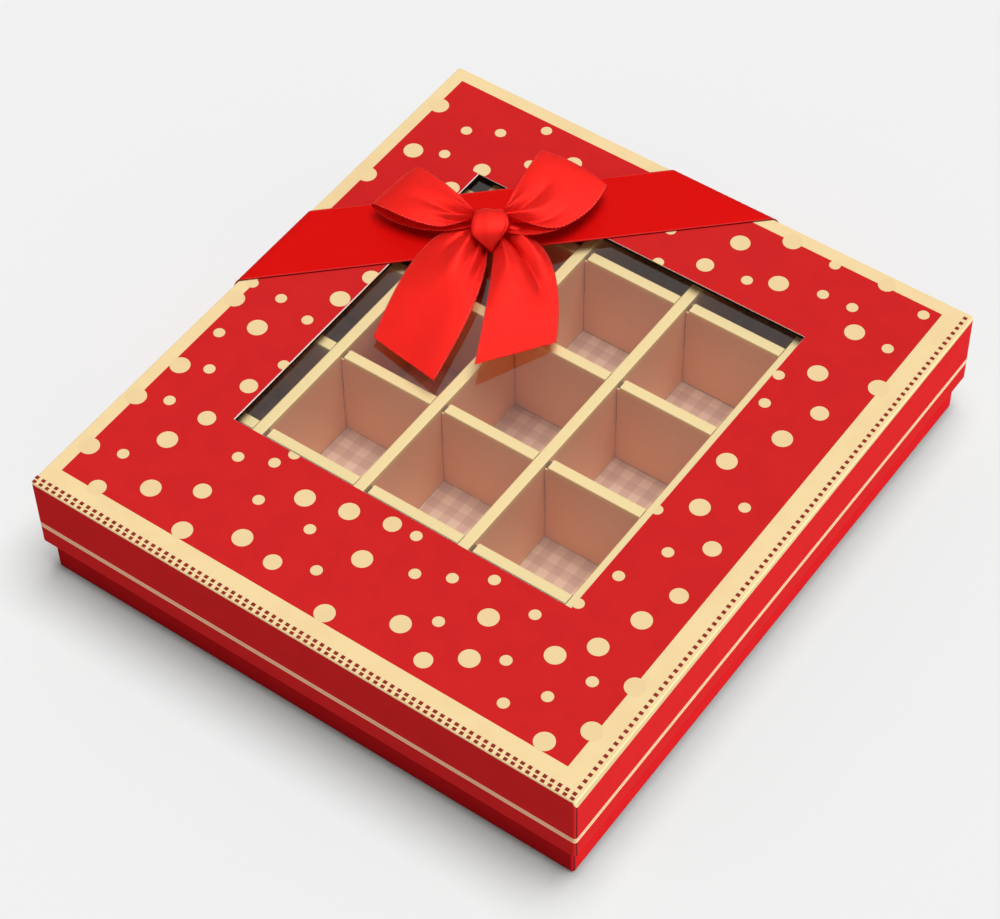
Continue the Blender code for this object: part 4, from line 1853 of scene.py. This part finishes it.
class Finishes:
    """The materials that more than one piece shares, and those of the strips and the glue."""

    # How far under the strips' top their pale crest begins to turn to the walls' painted shade
    card_crest: float = 0.3 * MM

    def __init__(self) -> None:
        """Make them."""
        self.cream = PrintedPaper("cream print", rgb(0.91, 0.69, 0.37), rgb(0.86, 0.63, 0.32)).make()
        self.red = PrintedPaper("red print", rgb(0.64, 0.020, 0.021), rgb(0.59, 0.018, 0.019),
                                specular=0.0).make()
        # The tray's red is more saturated than the lid's, which is its own colour, and darker, which is
        # painted shade for its front under the lid's rim
        self.plain_red = PrintedPaper("plain red paper", rgb(0.43, 0.009, 0.011), rgb(0.39, 0.007, 0.009),
                                      specular=0.0).make()
        self.dark_ink = PrintedPaper("dark print", rgb(0.26, 0.022, 0.014), rgb(0.34, 0.035, 0.022)).make()
        # A darker copy of the cream: painted shade for the lid's right flap
        self.margin = PrintedPaper("cream margin", rgb(0.72, 0.50, 0.26), rgb(0.66, 0.45, 0.23)).make()
        self.stripe = PrintedPaper("stripe print", rgb(0.95, 0.54, 0.33), rgb(0.88, 0.48, 0.29)).make()
        self.line = PrintedPaper("stripe line", rgb(0.80, 0.42, 0.25), rgb(0.74, 0.38, 0.22)).make()
        # Near-black red: painted shadow in the corner grooves
        self.crease = PrintedPaper("flap crease", rgb(0.10, 0.003, 0.005), rgb(0.16, 0.004, 0.006),
                                   0.6).make()
        self.edge = PlainSheet("paper edge", rgb(0.90, 0.86, 0.84), rgb(0.78, 0.72, 0.70)).make()
        self.lining = PlainSheet("lining paper", rgb(0.80, 0.77, 0.72), rgb(0.70, 0.66, 0.60)).make()
        self.stay = PlainSheet("stay paper", rgb(0.70, 0.62, 0.48), rgb(0.60, 0.52, 0.40)).make()
        self.glue = SetGlue("set glue", rgb(0.80, 0.60, 0.28), rgb(0.95, 0.82, 0.55)).make()
        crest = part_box("divider_long_1")[1].z - self.card_crest
        # Its second colour is the walls' painted shade and painted reflection of the brown floor sheet
        self.card = PearlCard("pearl gold card", rgb(1.0, 0.84, 0.40), rgb(0.95, 0.52, 0.31),
                              rgb(0.94, 0.60, 0.25), crest).make()

    def print_set(self) -> list[bpy.types.Material]:
        """Materials of the lid's skin, in the order of Ink."""
        return [self.cream, self.red, self.line, self.edge, self.crease, self.margin, self.stripe]

    def plain_set(self) -> list[bpy.types.Material]:
        """Materials of the tray's skin, in the order of Ink, as far as it has them."""
        return [self.plain_red, self.plain_red, self.plain_red, self.edge, self.crease]


# The studio


BOW_RIBBONS = ("bow_left_loop_ribbon", "bow_right_loop_ribbon", "bow_left_tail_ribbon",
               "bow_right_tail_ribbon", "bow_knot_ribbon")


@dataclass(frozen=True)
class SoftLamp:
    """A wide soft light far off: its strength, how wide it looks, and where it stands."""

    name: str
    strength: float
    softness: float
    height: float
    bearing: float
    bounces: int = 1024
    only_on: tuple[str, ...] = ()
    colour: tuple[float, float, float] = (1.0, 1.0, 1.0)

    def light(self) -> None:
        """Put the lamp up."""
        lamp = bpy.data.lights.new(self.name, "SUN")
        lamp.energy = self.strength
        lamp.color = self.colour
        lamp.angle = math.radians(self.softness)
        lamp.cycles.max_bounces = self.bounces
        stand = link(bpy.data.objects.new(self.name, lamp))
        height, bearing = math.radians(self.height), math.radians(self.bearing)
        level = math.cos(height)
        source = Vector((level * math.cos(bearing), level * math.sin(bearing), math.sin(height)))
        stand.rotation_euler = source.to_track_quat("Z", "Y").to_euler()
        if self.only_on:
            lit = bpy.data.collections.new(f"lit by {self.name}")
            for name in self.only_on:
                lit.objects.link(bpy.data.objects[name])
            stand.light_linking.receiver_collection = lit


@dataclass
class Studio:
    """A pale floor, soft light from the back and the right, and the camera."""

    floor_size: float = 6.0
    floor_cells: int = 8
    floor_colour: Colour = rgb(0.89, 0.89, 0.89)
    floor_shade: Colour = rgb(0.87, 0.87, 0.87)
    floor_cloud: float = 0.35
    floor_cloud_share: float = 0.25
    floor_roughness: float = 0.9
    sky_strength: float = 0.18
    shown_sky: float = 0.55
    lamps: tuple[SoftLamp, ...] = (
        SoftLamp("back key", 2.60, 42.0, 80.5, 52.0),
        SoftLamp("right side light", 3.20, 20.0, 2.0, 0.0, 0, ("lid_paper", "tray_paper"), (0.83, 1.0, 1.0)),
        # Lifts the tray's right side again, whose red is darkened as painted shade
        SoftLamp("tray side light", 5.60, 20.0, 0.0, 0.0, 0, ("tray_paper",), (0.83, 1.0, 1.0)),
        SoftLamp("bow accent", 0.40, 14.0, 48.0, 100.0, 0, BOW_RIBBONS),
        SoftLamp("bow fill", 0.52, 24.0, 42.0, 225.0, 0, BOW_RIBBONS))
    camera_place: Vector = field(default_factory=lambda: Vector((0.351754, -0.477807, 0.737948)))
    camera_bearing: float = math.radians(36.75493)
    camera_tilt: float = math.radians(50.74044)
    camera_roll: float = math.radians(-1.52426)
    camera_lens: float = 107.005
    sensor_width: float = 36.0

    def build(self) -> None:
        """Set up floor, world, lamps, camera and view."""
        self.make_floor()
        self.make_world()
        for lamp in self.lamps:
            lamp.light()
        self.make_camera()
        bpy.context.scene.view_settings.view_transform = "Standard"

    def make_floor(self) -> None:
        """Lay a wide pale sheet under the tray."""
        bm = bmesh.new()
        bmesh.ops.create_grid(bm, x_segments=self.floor_cells, y_segments=self.floor_cells,
                              size=self.floor_size / 2)
        mesh = bpy.data.meshes.new("floor")
        bm.to_mesh(mesh)
        bm.free()
        paint = Paint("pale floor")
        cloud = paint.noise(paint.place(), self.floor_cloud)
        colour = paint.mix(cloud * self.floor_cloud_share, self.floor_colour, self.floor_shade)
        shader = paint.principled(colour, self.floor_roughness, {"Specular IOR Level": 0.0})
        mesh.materials.append(paint.done(shader))
        link(bpy.data.objects.new("floor", mesh))

    def make_world(self) -> None:
        """Make even white surroundings, dimmer as a lamp than where they are seen or mirrored."""
        world = bpy.data.worlds.new("studio")
        bpy.context.scene.world = world
        world.use_nodes = True
        nodes = Nodes(world.node_tree)
        paths = nodes.node("ShaderNodeLightPath").outputs
        seen, mirrored, passed = (Value(nodes, paths[f"Is {kind} Ray"])
                                  for kind in ("Camera", "Glossy", "Transmission"))
        shown = seen.most(mirrored).most(passed)
        level = nodes.node("ShaderNodeMapRange", None, {0: shown, 3: self.sky_strength, 4: self.shown_sky})
        sky = nodes.node("ShaderNodeBackground", None, {"Color": WHITE, "Strength": level.outputs[0]})
        nodes.node("ShaderNodeOutputWorld", None, {"Surface": sky.outputs[0]})

    def make_camera(self) -> None:
        """Put the camera at the photograph's viewpoint."""
        data = bpy.data.cameras.new("camera")
        data.lens = self.camera_lens
        data.sensor_width = self.sensor_width
        camera = link(bpy.data.objects.new("camera", data))
        bearing, tilt, roll = self.camera_bearing, self.camera_tilt, self.camera_roll
        forward = Vector((-math.sin(bearing) * math.cos(tilt), math.cos(bearing) * math.cos(tilt),
                          -math.sin(tilt)))
        right = forward.cross(UP).normalized()
        up = right.cross(forward)
        rolled_right = right * math.cos(roll) + up * math.sin(roll)
        rolled_up = up * math.cos(roll) - right * math.sin(roll)
        turn = Matrix((rolled_right, rolled_up, -forward)).transposed()
        camera.matrix_world = Matrix.Translation(self.camera_place) @ turn.to_4x4()
        bpy.context.scene.camera = camera


def main() -> None:
    """Build the box, its ribbon and the studio."""
    logging.basicConfig(level=logging.INFO, format="%(message)s")
    finishes = Finishes()
    Tray(finishes).build()
    DividerGrid(finishes).build()
    Lid(finishes).build()
    RibbonBand().build(Satin("band satin", rgb(0.72, 0.003, 0.002), rgb(0.66, 0.002, 0.001),
                             RibbonBand.width, rgb(0.90, 0.06, 0.05), crease_rise=0.8).make())
    Bow(finishes).build(Satin("bow satin", rgb(0.95, 0.026, 0.018), rgb(0.82, 0.014, 0.010),
                              Bow.width, let_through=0.32).make())
    Studio().build()


if __name__ == "__main__":
    main()
